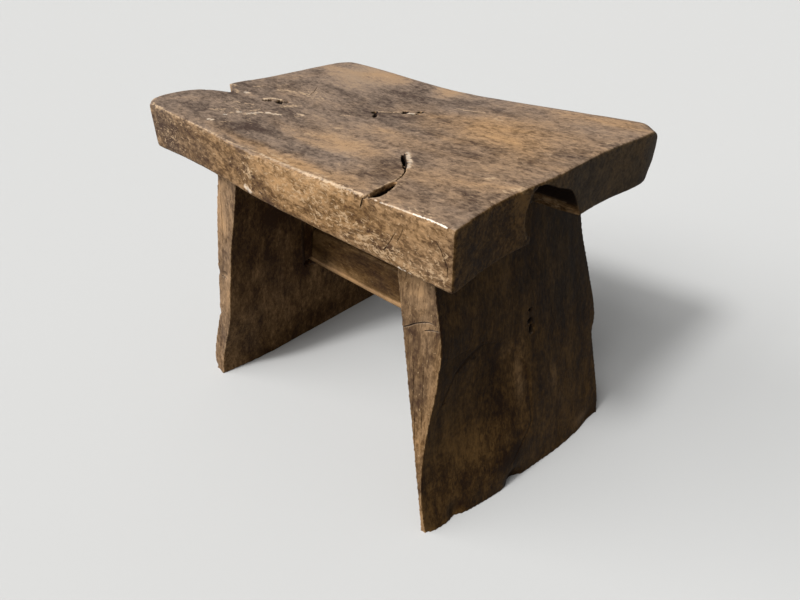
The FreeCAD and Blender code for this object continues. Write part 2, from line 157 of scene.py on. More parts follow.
# The left leg's inner face: painted shade in the recess beside the stretcher; darker towards the top.
LEFT_INNER_TONES_AND_SHADE = (
    (-100, 74, 46, 46, 0.35), (-66, 110, 40, 30, 0.15), (-18, 134, 14, 14, -0.6), (-16, 165, 12, 40, -0.8),
    (-20, 168, 6, 22, 0.35), (-60, 250, 80, 36, -0.5), (-120, 180, 20, 50, -0.1),
    (0, 30, 60, 20, -0.35), (-84, 150, 18, 12, 0.25), (-60, 200, 12, 16, 0.2),
)
# The stretcher's front: a painted lit strip low down, and the seat's shadow painted above it.
STRETCHER_LIGHT_AND_SHADE = (
    (-120, 140, 46, 7, 0.55), (-40, 138, 60, 5, 0.6), (60, 137, 60, 5, 0.5),
    (-60, 168, 90, 12, -0.3), (60, 164, 90, 14, -0.15), (120, 150, 30, 20, 0.1),
)

# Places where the patina is scratched through to pale wood, given as the tones are.
TOP_SCARS = (
    (-132, -92, 50, 16, 0.55), (-110, -112, 40, 14, 0.5), (-116, -8, 30, 14, 0.7),
    (-70, -64, 26, 8, 0.5), (10, -80, 40, 16, 0.45), (66, 60, 22, 12, 0.5),
    (-190, -128, 20, 20, 0.6), (40, -26, 10, 6, 0.5), (150, -70, 30, 30, 0.25),
    (60, -120, 30, 20, 0.4), (-24, 112, 16, 26, 0.35), (-120, 80, 50, 30, 0.3),
    (190, -60, 18, 80, 0.3), (-150, 0, 12, 10, 0.3), (-34, -30, 12, 6, 0.5),
)
FRONT_SCARS = (
    (-170, 344, 40, 20, 0.5), (-30, 338, 12, 14, 0.8), (60, 350, 80, 16, 0.6),
    (170, 324, 30, 8, 0.8), (120, 330, 60, 12, 0.6), (200, 344, 12, 20, 0.5),
    (20, 366, 80, 4, 0.9), (-110, 366, 60, 3, 0.5),
)

# Where the wood is golden or orange rather than purple-grey, given as the tones are.
TOP_WARMTH = (
    (140, 20, 90, 46, 0.85), (20, -86, 60, 22, 0.6), (10, -148, 110, 12, 0.8), (180, -90, 60, 60, 0.35),
    (-110, 100, 50, 36, 0.35), (-24, 116, 20, 28, 0.5), (186, 130, 40, 16, 0.6), (60, -46, 60, 18, 0.4),
    (100, 70, 60, 30, 0.35), (110, -110, 40, 26, 0.2), (40, 30, 60, 30, 0.3),
)
FRONT_WARMTH = (
    (-180, 344, 50, 40, -0.45), (-90, 340, 40, 20, 0.0), (40, 344, 90, 30, 0.4),
)

# Lines beside which the seat's edges stay crisp: its crack, knot slot, short slots and pith holes.
# The crack shows wood near its top; the others are painted black as shade all the way down.
CRACK_LINE = ((125, -163, 366), (127.5, -150, 368), (124, -122, 368))
KNOT_LINE = ((82, -72, 367), (108, -96, 368))
SHUT_LINES = (
    KNOT_LINE, ((-133, -66, 372), (-112, -51, 371)), ((-26, -5, 364), (-9, 28, 364), (4, 36, 364)),
)
CRISP_LINES = (CRACK_LINE, *SHUT_LINES)
# The knot slot and the pith holes as ovals in plan, painted black inside as shade: middle, half length, half
# width and turn in degrees.
SHADED_HOLE_OVALS = (
    (98.0, -84.2, 17.0, 1.2, 136),
    (-28.2, 3.6, 4.0, 2.3, 118), (-5.1, 27.6, 4.0, 2.3, 118), (6.7, 38.6, 4.0, 2.3, 118),
)

# The way into the wood from each kind of face.
INTO = {"top": (0, 0, -1), "front": (0, 1, 0), "outer": (-1, 0, 0), "inner": (1, 0, 0)}


def on_seat(*places):
    """Points on the seat's front face, from their x and z."""
    return tuple((x, SEAT_FRONT, z) for x, z in places)


def on_legs(*places):
    """Points on the legs' narrow front faces, which lean back towards the top, from their x and z."""
    return tuple((x, LEG_FRONT + LEG_FRONT_LEAN * z, z) for x, z in places)


# Bare worn edges, chips and scratches, and a few painted highlights along lit edges, in millimetres: the
# points along each, its half width and its strength.
SEAT_LIPS_AND_GLINTS = {
    "top": (
        (((86, -68, 367), (93, -75, 367), (100, -81, 367.5), (107, -89, 368), (112, -97, 368)), 3.6, 1.25),
        (((117, -104, 368), (123, -118, 368.4), (124, -132, 368.4), (125, -146, 368.4)), 1.4, 0.7),
        (((132, -122, 368.4), (135, -140, 368.5), (132, -155, 368.5)), 1.5, 0.6),
        (((-16, -154.3, 364), (0.8, -155.6, 363.8), (19.8, -155.8, 364.2), (41.5, -157.5, 365)), 2.4, 1.1),
        (((41.5, -157.5, 365), (63.7, -158.4, 366), (81.7, -158.7, 366.8), (98, -159.2, 367.4),
          (112.7, -160, 367.7), (124, -160.5, 367.8)), 2.6, 1.1),
        (((-12, -147, 364), (20, -151, 364)), 2.4, 0.7), (((60, -153, 366), (76, -154, 367)), 1.8, 0.6),
        # Partly pale worn wood and partly painted highlight: the white glint along the front top edge, strong
        # enough to turn white.
        (((138, -160.0, 368.5), (146.8, -160.4, 368.4), (163.8, -160.1, 368.9), (176.5, -160.1, 369.1)),
         0.9, 1.25),
        (((176.5, -160.1, 369.1), (192.1, -159.8, 369.6), (201.4, -160.0, 369.7), (208, -160.5, 369.4)),
         0.9, 1.8),
        (((166, -154, 369), (172, -158, 369)), 1.1, 0.8), (((172, -153, 369), (178, -157, 369)), 1.1, 0.9),
        (((179, -153, 369), (185, -157, 369)), 1.1, 0.9),
        (((186, -154, 369.4), (191, -157, 369.5)), 1.1, 0.8),
        (((-204, -156, 374), (-196, -159.5, 373.5), (-184, -160.5, 372.5), (-176, -160.5, 372)), 3.0, 0.9),
        (((-172, -160.5, 372), (-149.7, -161, 371.5), (-121.9, -160.5, 371), (-97, -159.5, 369.8)), 1.1, 0.8),
        (((-97, -159.5, 369.8), (-73.2, -158.7, 367.6), (-54.5, -158, 366), (-37.1, -155.7, 364.7),
          (-16, -154.3, 363.9)), 1.2, 0.9),
        (((-141.4, -125.1, 373.1), (-131.8, -115.8, 372.5)), 3.2, 0.85),
        (((-117, -143, 371.3), (-114.5, -141.4, 371.0)), 3.0, 1.4),
        (((-104, -137, 371), (-100, -131, 370.6)), 2.4, 0.8),
        (((-120, -124, 371.6), (-119.2, -122, 371.6)), 2.6, 1.4),
        (((-122, -117, 371.6), (-120, -112, 371.6)), 2.6, 0.9),
        (((-119.2, -108.7, 371.6), (-116.4, -106.6, 371.2)), 3.2, 1.25),
        (((-108.1, -103.3, 370.6), (-101.5, -92.2, 370.1)), 3.8, 1.2),
        (((-113, -95, 371), (-110, -90, 370.6)), 2.6, 0.8), (((-98, -88, 370), (-96, -85, 370)), 3.0, 1.3),
        (((-91.3, -84.8, 369.2), (-84.0, -79.4, 368.5)), 3.2, 1.2),
        (((-77.2, -63.4, 368.0), (-69.8, -61.4, 367.1)), 3.0, 1.1),
        (((-72, -70, 368.0), (-68, -67, 367.1)), 1.8, 1.0),
        (((-134, -88, 372.8), (-129, -84, 372.4)), 2.4, 0.8),
        (((-180.2, -41.4, 374.4), (-176.1, -37.3, 374.4)), 4.6, 0.8),
        (((-169.8, -63.6, 374.2), (-164, -64.6, 373.9)), 4.0, 1.25),
        (((-213, -58, 372), (-206, -56, 373), (-196, -58, 374)), 3.6, 0.9),
        (((-104.6, -63.1, 370.4), (-100, -56, 370.1), (-95.1, -47.7, 369.6)), 5.0, 0.7),
        (((-135.5, -62.2, 372.8), (-131.4, -55.2, 372.5), (-122.4, -50.9, 371.9)), 2.8, 1.1),
        (((-136.2, -24.8, 372.8), (-127.1, -19.1, 372.2), (-113.0, -17.7, 371.1)), 4.6, 0.75),
        (((-150, -30, 373), (-141, -26, 373)), 4.6, 0.6), (((-166, -22, 374), (-158, -14, 374)), 3.0, 0.5),
        (((-104, -20, 371), (-96, -12, 370)), 3.0, 0.55), (((-116, -4, 370), (-106, -18, 370)), 1.6, 0.6),
        (((-186, -66, 374.4), (-172, -72, 374.2)), 3.6, 0.7),
        (((-27.7, 8.2, 364.2), (-19.2, 16.5, 363.9), (-11.6, 24.1, 363.8), (-7, 26, 363.8)), 2.0, 0.95),
        (((-2.4, 25.3, 363.8), (2.3, 29.6, 363.8)), 2.8, 1.35),
        (((214, -66, 370), (216.5, -54, 370), (217, -44, 370)), 3.6, 1.2),
        (((203, -84, 370), (211, -70, 370)), 4.2, 1.0),
        (((176, -74, 371), (180, -70, 371)), 2.4, 0.9), (((206, 66, 371), (210, 70, 371)), 2.4, 0.8),
        (((-28, -92, 365), (-22, -88, 365)), 2.8, 0.7), (((-46, -30, 366), (-40, -24, 365.6)), 2.4, 0.7),
        (((46, -24, 365), (52, -18, 365)), 2.2, 0.6), (((-20, -60, 365), (-16, -54, 365)), 2.2, 0.6),
        (((28, 72, 364), (44, 74, 364), (60, 78, 365)), 3.6, 0.5), (((84, 66, 366), (92, 64, 366)), 4.0, 0.6),
        (((-226, -144, 374), (-214, -156, 374)), 4.4, 0.8),
    ),
    "front": (
        (on_seat((-216, 366), (-204, 368)), 3.4, 0.7), (on_seat((-29, 351), (-27, 344)), 3.2, 1.0),
        (on_seat((-37, 328), (-29, 325)), 3.6, 1.3), (on_seat((163, 319.6), (166, 318.8)), 1.8, 1.5),
        (on_seat((169, 319.4), (171, 319.2)), 1.6, 1.5), (on_seat((174, 319.2), (175.6, 319.2)), 1.4, 1.3),
        (on_seat((180, 320.4), (182, 320.6)), 1.3, 1.0), (on_seat((146, 330), (151, 326)), 1.2, 0.8),
        (on_seat((206, 330), (209, 327)), 2.2, 0.9),
    ),
    "outer": (
        # A painted highlight along the lit edge of the bite.
        (((213.4, -65.4, 355.1), (213.1, -67.9, 348.2), (213, -69.3, 339), (213.3, -66.5, 329.0),
          (213.8, -61.7, 321.8)), 0.9, 0.6),
        (((218, -108, 366), (218, -107, 357)), 1.2, 0.5),
    ),
}

# Cracks and cuts, in millimetres: the points along the line, half its width and its depth.
SEAT_CUTS = {
    "top": (
        (((126.4, -162.2, 366.0), (128.2, -160.5, 367.6), (129.4, -156, 368.2)), 1.6, 4.0),
        (((104, -92.4, 367.8), (108.5, -96.6, 368), (112.4, -100.2, 368.1)), 2.4, 5.0),
        (((125.0, -124.0, 368.2), (121.5, -113.0, 368.4), (117.2, -105.2, 368.2),
          (112.2, -99.4, 368.1), (107.6, -95.2, 368.0)), 0.9, 3.0),
        (((-129.8, -63.8, 372.3), (-127.6, -62.2, 372.1)), 6.2, 4.5),
        (((-117.4, -54.9, 371.6), (-112.9, -51.5, 371.2)), 6.6, 4.5),
        (((-18.2, -8.0, 363.9), (-21.8, -3.6, 364.0), (-25.0, 1.6, 364.1)), 3.1, 5.0),
        (((-5.8, 22.2, 363.7), (-3.8, 24.4, 363.7)), 2.0, 3.0),
        (((4.6, 27.6, 363.9), (7.4, 31.2, 363.9)), 3.2, 4.5),
        (((4.6, 41.2, 363.8), (6.2, 43.2, 363.8)), 1.4, 1.6),
        (((-24.4, 6.2, 364.1), (-16, 14.5, 364), (-9.4, 22, 363.7)), 0.8, 0.8),
        (((34.0, -29.5, 364.8), (36.0, -26.5, 364.8)), 0.8, 0.9),
        (((37.4, -28.0, 364.8), (39.4, -25.0, 364.8)), 0.8, 0.9),
        (((40.6, -26.2, 364.8), (42.4, -23.4, 364.8)), 0.8, 0.9),
        (((-131, 10, 372.4), (-120, -4, 371.6), (-112, -18, 371)), 0.8, 0.6),
    ),
    "front": (
        (on_seat((126.2, 365.6), (124.6, 361), (122.8, 356.0)), 0.8, 2.0),
        (on_seat((160.7, 349.4), (155.4, 340.0), (150.5, 332.5), (146.5, 327.2)), 0.55, 0.9),
        (on_seat((168.8, 355.5), (165.8, 347.9), (161.6, 340.6)), 0.5, 0.7),
        (on_seat((199.5, 355.6), (204.6, 350), (208.4, 343.5), (211.1, 339.0), (211.4, 331)), 0.6, 1.5),
        (on_seat((-150, 366.5), (-90, 366.0), (-30, 361.5)), 0.6, 0.5),
    ),
    "outer": (
        (((212.5, -82, 350), (212.4, -81, 343)), 0.9, 1.4),
    ),
}
RIGHT_LEG_CUTS = {
    "front": (
        (on_legs((136.5, 233.5), (138.5, 234.5), (144.3, 238.4), (151.0, 243.7), (158.8, 248.4),
                  (166.5, 252.0), (173, 253)), 0.8, 2.4),
        (on_legs((163, 242), (166.2, 243.7), (171, 246.2), (176.0, 247.5), (181, 248.6)), 0.7, 2.0),
        (on_legs((172, 262), (181, 257)), 0.6, 1.2),
        (on_legs((153, 262), (152.5, 276), (154, 292)), 0.5, 0.4),
        (on_legs((158, 120), (157, 160), (154, 205)), 0.6, 0.7),
        (on_legs((166, 60), (164, 100), (160, 150)), 0.6, 0.7),
        (on_legs((177, 66), (176, 96), (174, 130)), 0.7, 0.9),
        (on_legs((171, 120), (168, 160), (166, 206)), 0.6, 0.6),
    ),
    "outer": (
        (((191.0, 7.3, 186.0), (191.8, 7.3, 181.6)), 5.4, 5.0),
        (((188.9, 3.8, 196.2), (189.3, 3.6, 193.4)), 3.4, 2.6),
        (((187.0, 1.7, 204.0), (186.4, 4.7, 207.8), (186.2, 10.0, 208.4)), 1.8, 1.6),
        (((179.0, -127, 150), (180.3, -120.3, 159.8), (181.0, -112, 175), (181.8, -105, 187.8),
          (181.9, -85.2, 196.4), (183.3, -61.1, 200.0)), 3.4, 0.8),
        (((205.6, -1.9, 104.8), (211.8, -1.0, 74.0), (212.9, -9.9, 61.3), (213.2, -18.4, 52.4),
          (213.2, -37.7, 31.1)), 2.6, 0.6),
        (((180.2, -119, 159), (180.4, -116, 158)), 1.8, 0.8),
        (((182.4, -79, 191), (182.6, -75, 190)), 2.0, 0.7),
        (((186, -110, 212), (186, -92, 209), (186, -78, 213)), 0.8, 1.2),
        (((194.2, -115, 17), (196.4, -111, 10), (195.8, -118, 4)), 5.0, 1.6),
    ),
}
LEFT_LEG_CUTS = {
    "front": (
        (on_legs((-150, 290), (-154, 240), (-160, 196)), 0.6, 0.8),
        (on_legs((-144, 250), (-150, 210)), 0.6, 0.7),
        (on_legs((-168, 164), (-158, 163)), 0.9, 1.4),
        (on_legs((-184, 90), (-190, 40)), 0.6, 0.8),
        (on_legs((-180, 112), (-170, 108)), 0.9, 1.2),
    ),
    "inner": (
        (((-142, -24, 205), (-149, -22, 165), (-155, -18, 130)), 4.0, 0.8),
    ),
}
NO_LINES = {}
# Notches pared out of a leg's outline, in millimetres: the middle, the reach along each axis and the push.
RIGHT_LEG_NOTCHES = (
    ((216, -27, 4), (10, 11, 15), (-8.0, 0, 0)), ((188, -151, 0), (8, 8, 7), (-3.5, 3.0, 0)),
    ((197, -110, 8), (8, 8, 13), (-5.0, 0, 0)), ((222, 120, 4), (10, 18, 10), (-3.0, 0, 0)),
)
LEFT_LEG_NOTCHES = (
    ((-187, -143, 105), (8, 14, 5), (4.5, 0, 0)), ((-172, -138, 166), (8, 14, 5), (3.0, 0, 0)),
    ((-206, -150, 2), (9, 10, 9), (4.0, 2.0, 0)), ((-160, -136, 168), (6, 10, 4), (0, 3.0, 0)),
    ((-184, -150, 60), (5, 10, 12), (0, 2.0, 0)),
)
# The rim of the scoop low on the right leg's outer face, as y and z in millimetres.
SCOOP_RIM = (
    (-128, 214), (-108, 212), (-83, 208), (-58, 200), (-34, 189), (-15, 170),
    (-4, 150), (2, 120), (2, 98), (-5, 74), (-18, 62), (-38, 54), (-50, 46),
)


def lattice(cells, seed):
    """A repeatable random number from 0 to 1 for each whole-number cell corner."""
    mixed = cells[:, 0] * 73856093 ^ cells[:, 1] * 19349663 ^ cells[:, 2] * 83492791 ^ seed * 40503
    mixed = (mixed ^ (mixed >> 13)) * 1274126177 & 0x7FFFFFFF
    mixed = (mixed ^ (mixed >> 15)) * 2246822519 & 0x7FFFFFFF
    return ((mixed >> 7) & 0xFFFF) / 65535.0


def value_noise(points, seed):
    """Smooth noise from -1 to 1 that changes over about one unit."""
    cells = np.floor(points).astype(np.int64)
    t = points - cells
    t = t * t * (3.0 - 2.0 * t)
    total = np.zeros(len(points))
    for corner in np.ndindex(2, 2, 2):
        weight = np.prod(np.where(corner, t, 1.0 - t), axis=1)
        total += weight * lattice(cells + np.array(corner), seed)
    return total * 2.0 - 1.0


def fractal(points, scale, seed, octaves=3):
    """Layered noise; scale is cells per metre along x, y and z."""
    total, size, reach = 0.0, 1.0, 0.0
    at = points * np.array(scale, float)
    for layer in range(octaves):
        total = total + size * value_noise(at + 17.3 * layer, seed + layer)
        reach += size
        at, size = at * 2.03, size * 0.5
    return total / reach


def ramp(values, low, high):
    """0 below low, 1 above high and a smooth step between them."""
    t = np.clip((values - low) / (high - low), 0.0, 1.0)
    return t * t * (3.0 - 2.0 * t)


def read_vertices(mesh, name):
    """Every vertex's place (co) or normal, as an array."""
    values = np.empty(len(mesh.vertices) * 3, np.float32)
    mesh.vertices.foreach_get(name, values)
    return values.reshape(-1, 3).astype(float)


def read_edges(mesh):
    """The mesh's edges as pairs of vertex numbers."""
    edges = np.empty(len(mesh.edges) * 2, np.int32)
    mesh.edges.foreach_get("vertices", edges)
    return edges.reshape(-1, 2)


def write_points(mesh, points):
    """Moves the mesh's vertices to new places."""
    mesh.vertices.foreach_set("co", points.astype(np.float32).ravel())
    mesh.update()


def relax(values, edges, rounds):
    """Each row of values replaced by its neighbours' mean, several times over."""
    first, second = edges[:, 0], edges[:, 1]
    count = len(values)
    share = np.maximum(np.bincount(first, minlength=count) + np.bincount(second, minlength=count), 1)
    for _ in range(rounds):
        columns = [
            (np.bincount(first, v[second], count) + np.bincount(second, v[first], count)) / share
            for v in values.T
        ]
        values = np.stack(columns, axis=1)
    return values


def merged_copy(node, name):
    """A copy of a CAD node with its loose triangles joined into one closed skin."""
    bm = bmesh.new()
    bm.from_mesh(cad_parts[node].data)
    bmesh.ops.remove_doubles(bm, verts=bm.verts, dist=SAME_PLACE)
    mesh = bpy.data.meshes.new(name)
    bm.to_mesh(mesh)
    bm.free()
    piece = bpy.data.objects.new(name, mesh)
    bpy.context.scene.collection.objects.link(piece)
    return piece


def keep_modifiers(piece):
    """Turns what the piece's modifiers show into its own mesh."""
    shown = piece.evaluated_get(bpy.context.evaluated_depsgraph_get())
    mesh = bpy.data.meshes.new_from_object(shown)
    old = piece.data
    piece.modifiers.clear()
    piece.data = mesh
    bpy.data.meshes.remove(old)
    mesh.name = piece.name


def remesh(piece, cell):
    """Covers the piece with an even skin of small faces that can be sculpted."""
    grid = piece.modifiers.new("even_skin", "REMESH")
    grid.mode = "VOXEL"
    grid.voxel_size = cell
    grid.use_smooth_shade = True
    keep_modifiers(piece)


def thin_out(piece, target):
    """Collapses faces on the flatter parts until about the target number is left."""
    piece.data.calc_loop_triangles()
    triangles = len(piece.data.loop_triangles)
    if triangles > target:
        collapse = piece.modifiers.new("thin_out", "DECIMATE")
        collapse.ratio = target / triangles
        keep_modifiers(piece)


def distance_to_line(points, line):
    """How far each point is from a run of straight steps, and how far along it that is, from 0 to 1."""
    line = np.array(line, float)
    best = np.full(len(points), np.inf)
    place = np.zeros(len(points))
    lengths = np.linalg.norm(np.diff(line, axis=0), axis=1)
    whole, gone = lengths.sum(), 0.0
    for start, end, length in zip(line[:-1], line[1:], lengths):
        way = (end - start) / length
        along = np.clip((points - start) @ way, 0.0, length)
        gap = np.linalg.norm(points - start - along[:, None] * way, axis=1)
        nearer = gap < best
        best[nearer] = gap[nearer]
        place[nearer] = (gone + along[nearer]) / whole
        gone += length
    return best, place


def settle(piece, table):
    """Lays each line of a table on the piece's skin, and adds the way from there into the wood.

    Over a hole a line keeps its drawn height."""
    skin = BVHTree.FromObject(piece, bpy.context.evaluated_depsgraph_get())
    rows = []
    for face, lines in table.items():
        way = Vector(INTO[face])
        for line, half_width, amount in lines:
            laid = []
            for point in line:
                start = Vector(point) * MM
                hit = skin.ray_cast(start - way * DRAWN_ABOVE * MM, way, DRAWN_REACH * MM)[0]
                laid.append(tuple((start if hit is None else hit) / MM))
            rows.append((laid, half_width, amount, np.array(way)))
    return rows


def mend_skin(bm):
    """Takes out slivers, pairs of faces on the same corners and lone inner faces, so the skin is closed."""
    bmesh.ops.dissolve_degenerate(bm, dist=SAME_PLACE, edges=bm.edges)
    bmesh.ops.triangulate(bm, faces=bm.faces)
    waiting, folds = {}, []
    for face in bm.faces:
        corners = frozenset(face.verts)
        if corners in waiting:
            folds += [face, waiting.pop(corners)]
        else:
            waiting[corners] = face
    bmesh.ops.delete(bm, geom=folds, context="FACES")
    inner = [face for face in bm.faces if all(len(edge.link_faces) == 3 for edge in face.edges)]
    bmesh.ops.delete(bm, geom=inner, context="FACES_ONLY")


def refine_along(piece, rows, rounds):
    """Splits the faces beside each line until they are small enough for a narrow cut or lip."""
    bm = bmesh.new()
    bm.from_mesh(piece.data)
    for _ in range(rounds):
        bm.verts.index_update()
        points = np.array([v.co for v in bm.verts]) / MM
        ends = np.array([(e.verts[0].index, e.verts[1].index) for e in bm.edges])
        middles = 0.5 * (points[ends[:, 0]] + points[ends[:, 1]])
        lengths = np.linalg.norm(points[ends[:, 0]] - points[ends[:, 1]], axis=1)
        near = np.zeros(len(ends), bool)
        for line, half_width, _, _ in rows:
            gap, _ = distance_to_line(middles, line)
            too_long = lengths > max(FINEST_EDGE, 0.4 * half_width)
            near |= too_long & (gap < half_width + 0.5 + 0.5 * lengths)
        edges = [e for e, wanted in zip(bm.edges, near) if wanted]
        bmesh.ops.subdivide_edges(bm, edges=edges, cuts=1)
        bmesh.ops.triangulate(bm, faces=[f for f in bm.faces if len(f.verts) > 3])
    mend_skin(bm)
    bm.to_mesh(piece.data)
    bm.free()


def carve(points, rows, seed):
    """Digs each cut into the wood and returns the new places and how deep in a cut each point is.

    A line runs out at its ends, but a pit, which is short for its width, is as deep there."""
    inside = np.zeros(len(points))
    moved = points.copy()
    ragged = fractal(points, (700, 700, 700), seed, 2)
    for line, half_width, depth, way in rows:
        gap, place = distance_to_line(points / MM, line)
        taper = np.clip(4.0 * np.minimum(place + 0.06, 1.06 - place), 0.0, 1.0)
        if np.linalg.norm(np.subtract(line[-1], line[0])) < 2.5 * half_width:
            taper = np.ones(len(points))
        wide = half_width * (0.85 + 0.35 * ragged) * (0.5 + 0.5 * taper)
        share = ramp(1.0 - gap / wide, 0.0, 0.8)
        moved += (share * depth * MM * taper)[:, None] * way
        inside = np.maximum(inside, ramp(share, 0.0, 0.7) * np.clip(depth / 1.6, 0.25, 1.0))
    return moved, inside


def pare(points, table):
    """Pushes the wood in around each notch of a table."""
    moved = points / MM
    for middle, reach, push in table:
        share = np.exp(-(((points / MM - middle) / reach) ** 2).sum(axis=1))
        moved += share[:, None] * np.array(push)
    return moved * MM


def spot(a, b, mid_a, mid_b, reach_a, reach_b):
    """A soft ellipse over two coordinates, 1 in its middle."""
    return np.exp(-((a - mid_a) / reach_a) ** 2 - ((b - mid_b) / reach_b) ** 2)


def pinch_knot(x, y, z):
    """Draws the walls of the knot slot together until a slit is left."""
    start, end = (np.array(place[:2], float) for place in KNOT_LINE)
    length = np.linalg.norm(end - start)
    way = (end - start) / length
    from_start = np.column_stack([x, y]) - start
    along, across = from_start @ way, from_start @ np.array([-way[1], way[0]])
    beside = soft_box(along, -2, length + 2, 5) * ramp(z, 340, 352)
    pull = -0.5 * across * (1 - ramp(np.abs(across), 3.0, 10.0)) * beside
    return x - way[1] * pull, y + way[0] * pull


def round_corner(x, y, z):
    """Rounds the seat's back right corner off at its top and bottom, along the curve of its plan."""
    (corner_x, corner_y), (way_x, way_y) = CORNER, CORNER_WAY
    along = way_x * (x - corner_x) + way_y * (y - corner_y)
    across = way_y * (x - corner_x) - way_x * (y - corner_y)
    near = spot(along, across, 0, 0, 14, 9)
    fall = 9.0 * near * ramp(z, 338, 366)
    low = near * (1 - ramp(z, 316, 338))
    return x - 2.5 * low, y - 2.5 * low, z - fall + 3.0 * low


def shape_seat(points):
    """Pinches the knot slot and rounds the back right corner."""
    x, y, z = points.T / MM
    x, y = pinch_knot(x, y, z)
    return np.column_stack(round_corner(x, y, z)) * MM


def zones(a, b, table, warp_a, warp_b):
    """Adds up soft ellipses over two coordinates of a face, with their outlines bent by noise."""
    total = np.zeros(len(a))
    a, b = a / MM + warp_a, b / MM + warp_b
    for mid_a, mid_b, reach_a, reach_b, weight in table:
        total += weight * spot(a, b, mid_a, mid_b, reach_a, reach_b)
    return total


def store(mesh, name, values):
    """Keeps one number for each vertex, for the piece's material to read."""
    layer = mesh.attributes.new(name, "FLOAT", "POINT")
    layer.data.foreach_set("value", np.clip(values, 0.0, 1.0).astype(np.float32))


def keep_in_box(points, node):
    """Holds every point inside its own slab's box, so weathering never makes the stool larger."""
    low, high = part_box(node)
    return np.clip(points, np.array(low), np.array(high))


def bulge(points, edges, normals, rounds):
    """How far each point stands out from its surroundings, in metres: below 0 in hollows."""
    return np.einsum("ij,ij->i", points - relax(points, edges, rounds), normals)


def weather(piece, node, seed, grain, crumble, cuts=NO_LINES, lips=NO_LINES, still=None, trim=None):
    """Ages one slab: hewn undulation, grain ridges, worn and chipped edges, then its cracks.

    crumble gives how worn and broken the edges are at each point, 0 where they stay crisp.
    still gives a share from 0 to 1 of how much of the weathering each point takes.
    trim is a last change to the outline. Returns how deep in a cut each point is, and how strongly the bare
    lines and the painted highlight lines cover it."""
    settings = bpy.context.scene.stool_surface
    cell = settings.skin_cell
    remesh(piece, cell)
    mesh = piece.data
    points, edges = read_vertices(mesh, "co"), read_edges(mesh)
    normals = relax(read_vertices(mesh, "normal"), edges, 2)
    normals /= np.maximum(np.linalg.norm(normals, axis=1), 1e-9)[:, None]
    near = max(2, round(12 * (settings.skin_cell / cell) ** 2))
    stands = bulge(points, edges, normals, near)
    sharp = ramp(stands, 0.00015, 0.0011)
    hewn = 0.5 + 0.5 * fractal(points, (26, 26, 26), seed, 3)
    ridges = 0.5 + 0.5 * fractal(points, grain, seed + 10, 3)
    chips = ramp(fractal(points, (95, 95, 95), seed + 20, 3), 0.1, 0.5)
    crumbs = ramp(fractal(points, (260, 260, 260), seed + 25, 2), -0.1, 0.5)
    worn = crumble(points)
    depth = settings.hewn_depth * hewn ** 1.5
    depth += settings.ridge_depth * ridges
    depth += settings.edge_wear * sharp * worn * (0.4 + 0.6 * chips + worn ** 2 * crumbs)
    if still is not None:
        depth *= still(points)
    points = points - normals * depth[:, None]
    if trim is not None:
        points = trim(points)
    write_points(mesh, keep_in_box(points, node))
    thin_out(piece, settings.slab_faces)
    cuts, lips = settle(piece, cuts), settle(piece, lips)
    refine_along(piece, cuts + lips, 4)
    mesh = piece.data
    points = read_vertices(mesh, "co")
    # Partly bare wood and partly painted highlights along lit edges.
    bare = along_lips(points, lips)
    points, inside = carve(points, cuts, seed + 30)
    write_points(mesh, keep_in_box(points, node))
    return inside, bare


def mark(piece, inside, bare, seed, look, hole_shade=None):
    """Works out where the wood is worn, lighter, warm or scarred, where its hollows are dirty and painted
    with shade, and where end grain and painted shade darken its faces, for the materials.

    The last argument gives 1 where a point is on the wall of a hole, which is painted black as shade."""
    mesh = piece.data
    points, edges, normals = read_vertices(mesh, "co"), read_edges(mesh), read_vertices(mesh, "normal")
    stands = bulge(points, edges, normals, 3)
    wide = bulge(points, edges, normals, 24)
    rag = fractal(points, (150, 150, 150), seed + 40, 3)
    facing = np.stack([ramp(s * normals[:, i], 0.45, 0.8) for i in range(3) for s in (1, -1)], axis=1)
    tone, warm, dull, scar, rub = look(points, facing)
    still = 1.0 - np.clip(2.0 * inside, 0.0, 1.0)
    worn = ramp(stands + 0.00006 * rag, 0.00010, 0.00036) * rub * still
    # Partly dirty wood and partly painted shade: darker where the skin lies in a broad hollow.
    grime = ramp(0.0001 * rag - wide, 0.0002, 0.0016)
    # Painted shade: the walls of cuts and of the holes are darkened, the holes nearly to black.
    cut = inside if hole_shade is None else np.maximum(inside, hole_shade(points, facing))
    # Wear and the whitest marks also carry the painted highlights drawn as lines.
    for name, values in (("wear", np.maximum(worn, bare * still)), ("chalk", (bare - 1.0) * still),
                         ("grime", grime), ("cut", cut), ("tone", tone), ("warm", warm),
                         ("dull", dull), ("scar", scar)):
        store(mesh, name, values)
    mesh.polygons.foreach_set("use_smooth", np.ones(len(mesh.polygons), bool))
    mesh.update()


# Columns of the facing table.
RIGHT, LEFT, BACK, FRONT, UP, DOWN = range(6)


def bend(points, seed, reach=9.0):
    """Three noises in millimetres that bend the outlines of the zones."""
    return [reach * fractal(points, (32, 32, 32), seed + i, 3) for i in range(3)]


def soft_box(values, low, high, edge):
    """1 between low and high, fading to 0 over the edge's width outside them."""
    return ramp(values, low - edge, low) * (1.0 - ramp(values, high, high + edge))


def along_lips(points, rows):
    """How much each point belongs to one of the bare chips, scratches and worn edges, or to a painted
    highlight line.
    """
    total = np.zeros(len(points))
    room = np.clip(0.85 + 1.1 * fractal(points, (520, 520, 520), 71, 2), 0.05, 1.2)
    for line, half_width, strength, _ in rows:
        gap, _ = distance_to_line(points / MM, line)
        total = np.maximum(total, strength * (1.0 - ramp(gap / (half_width * room), 0.5, 1.0)))
    return total


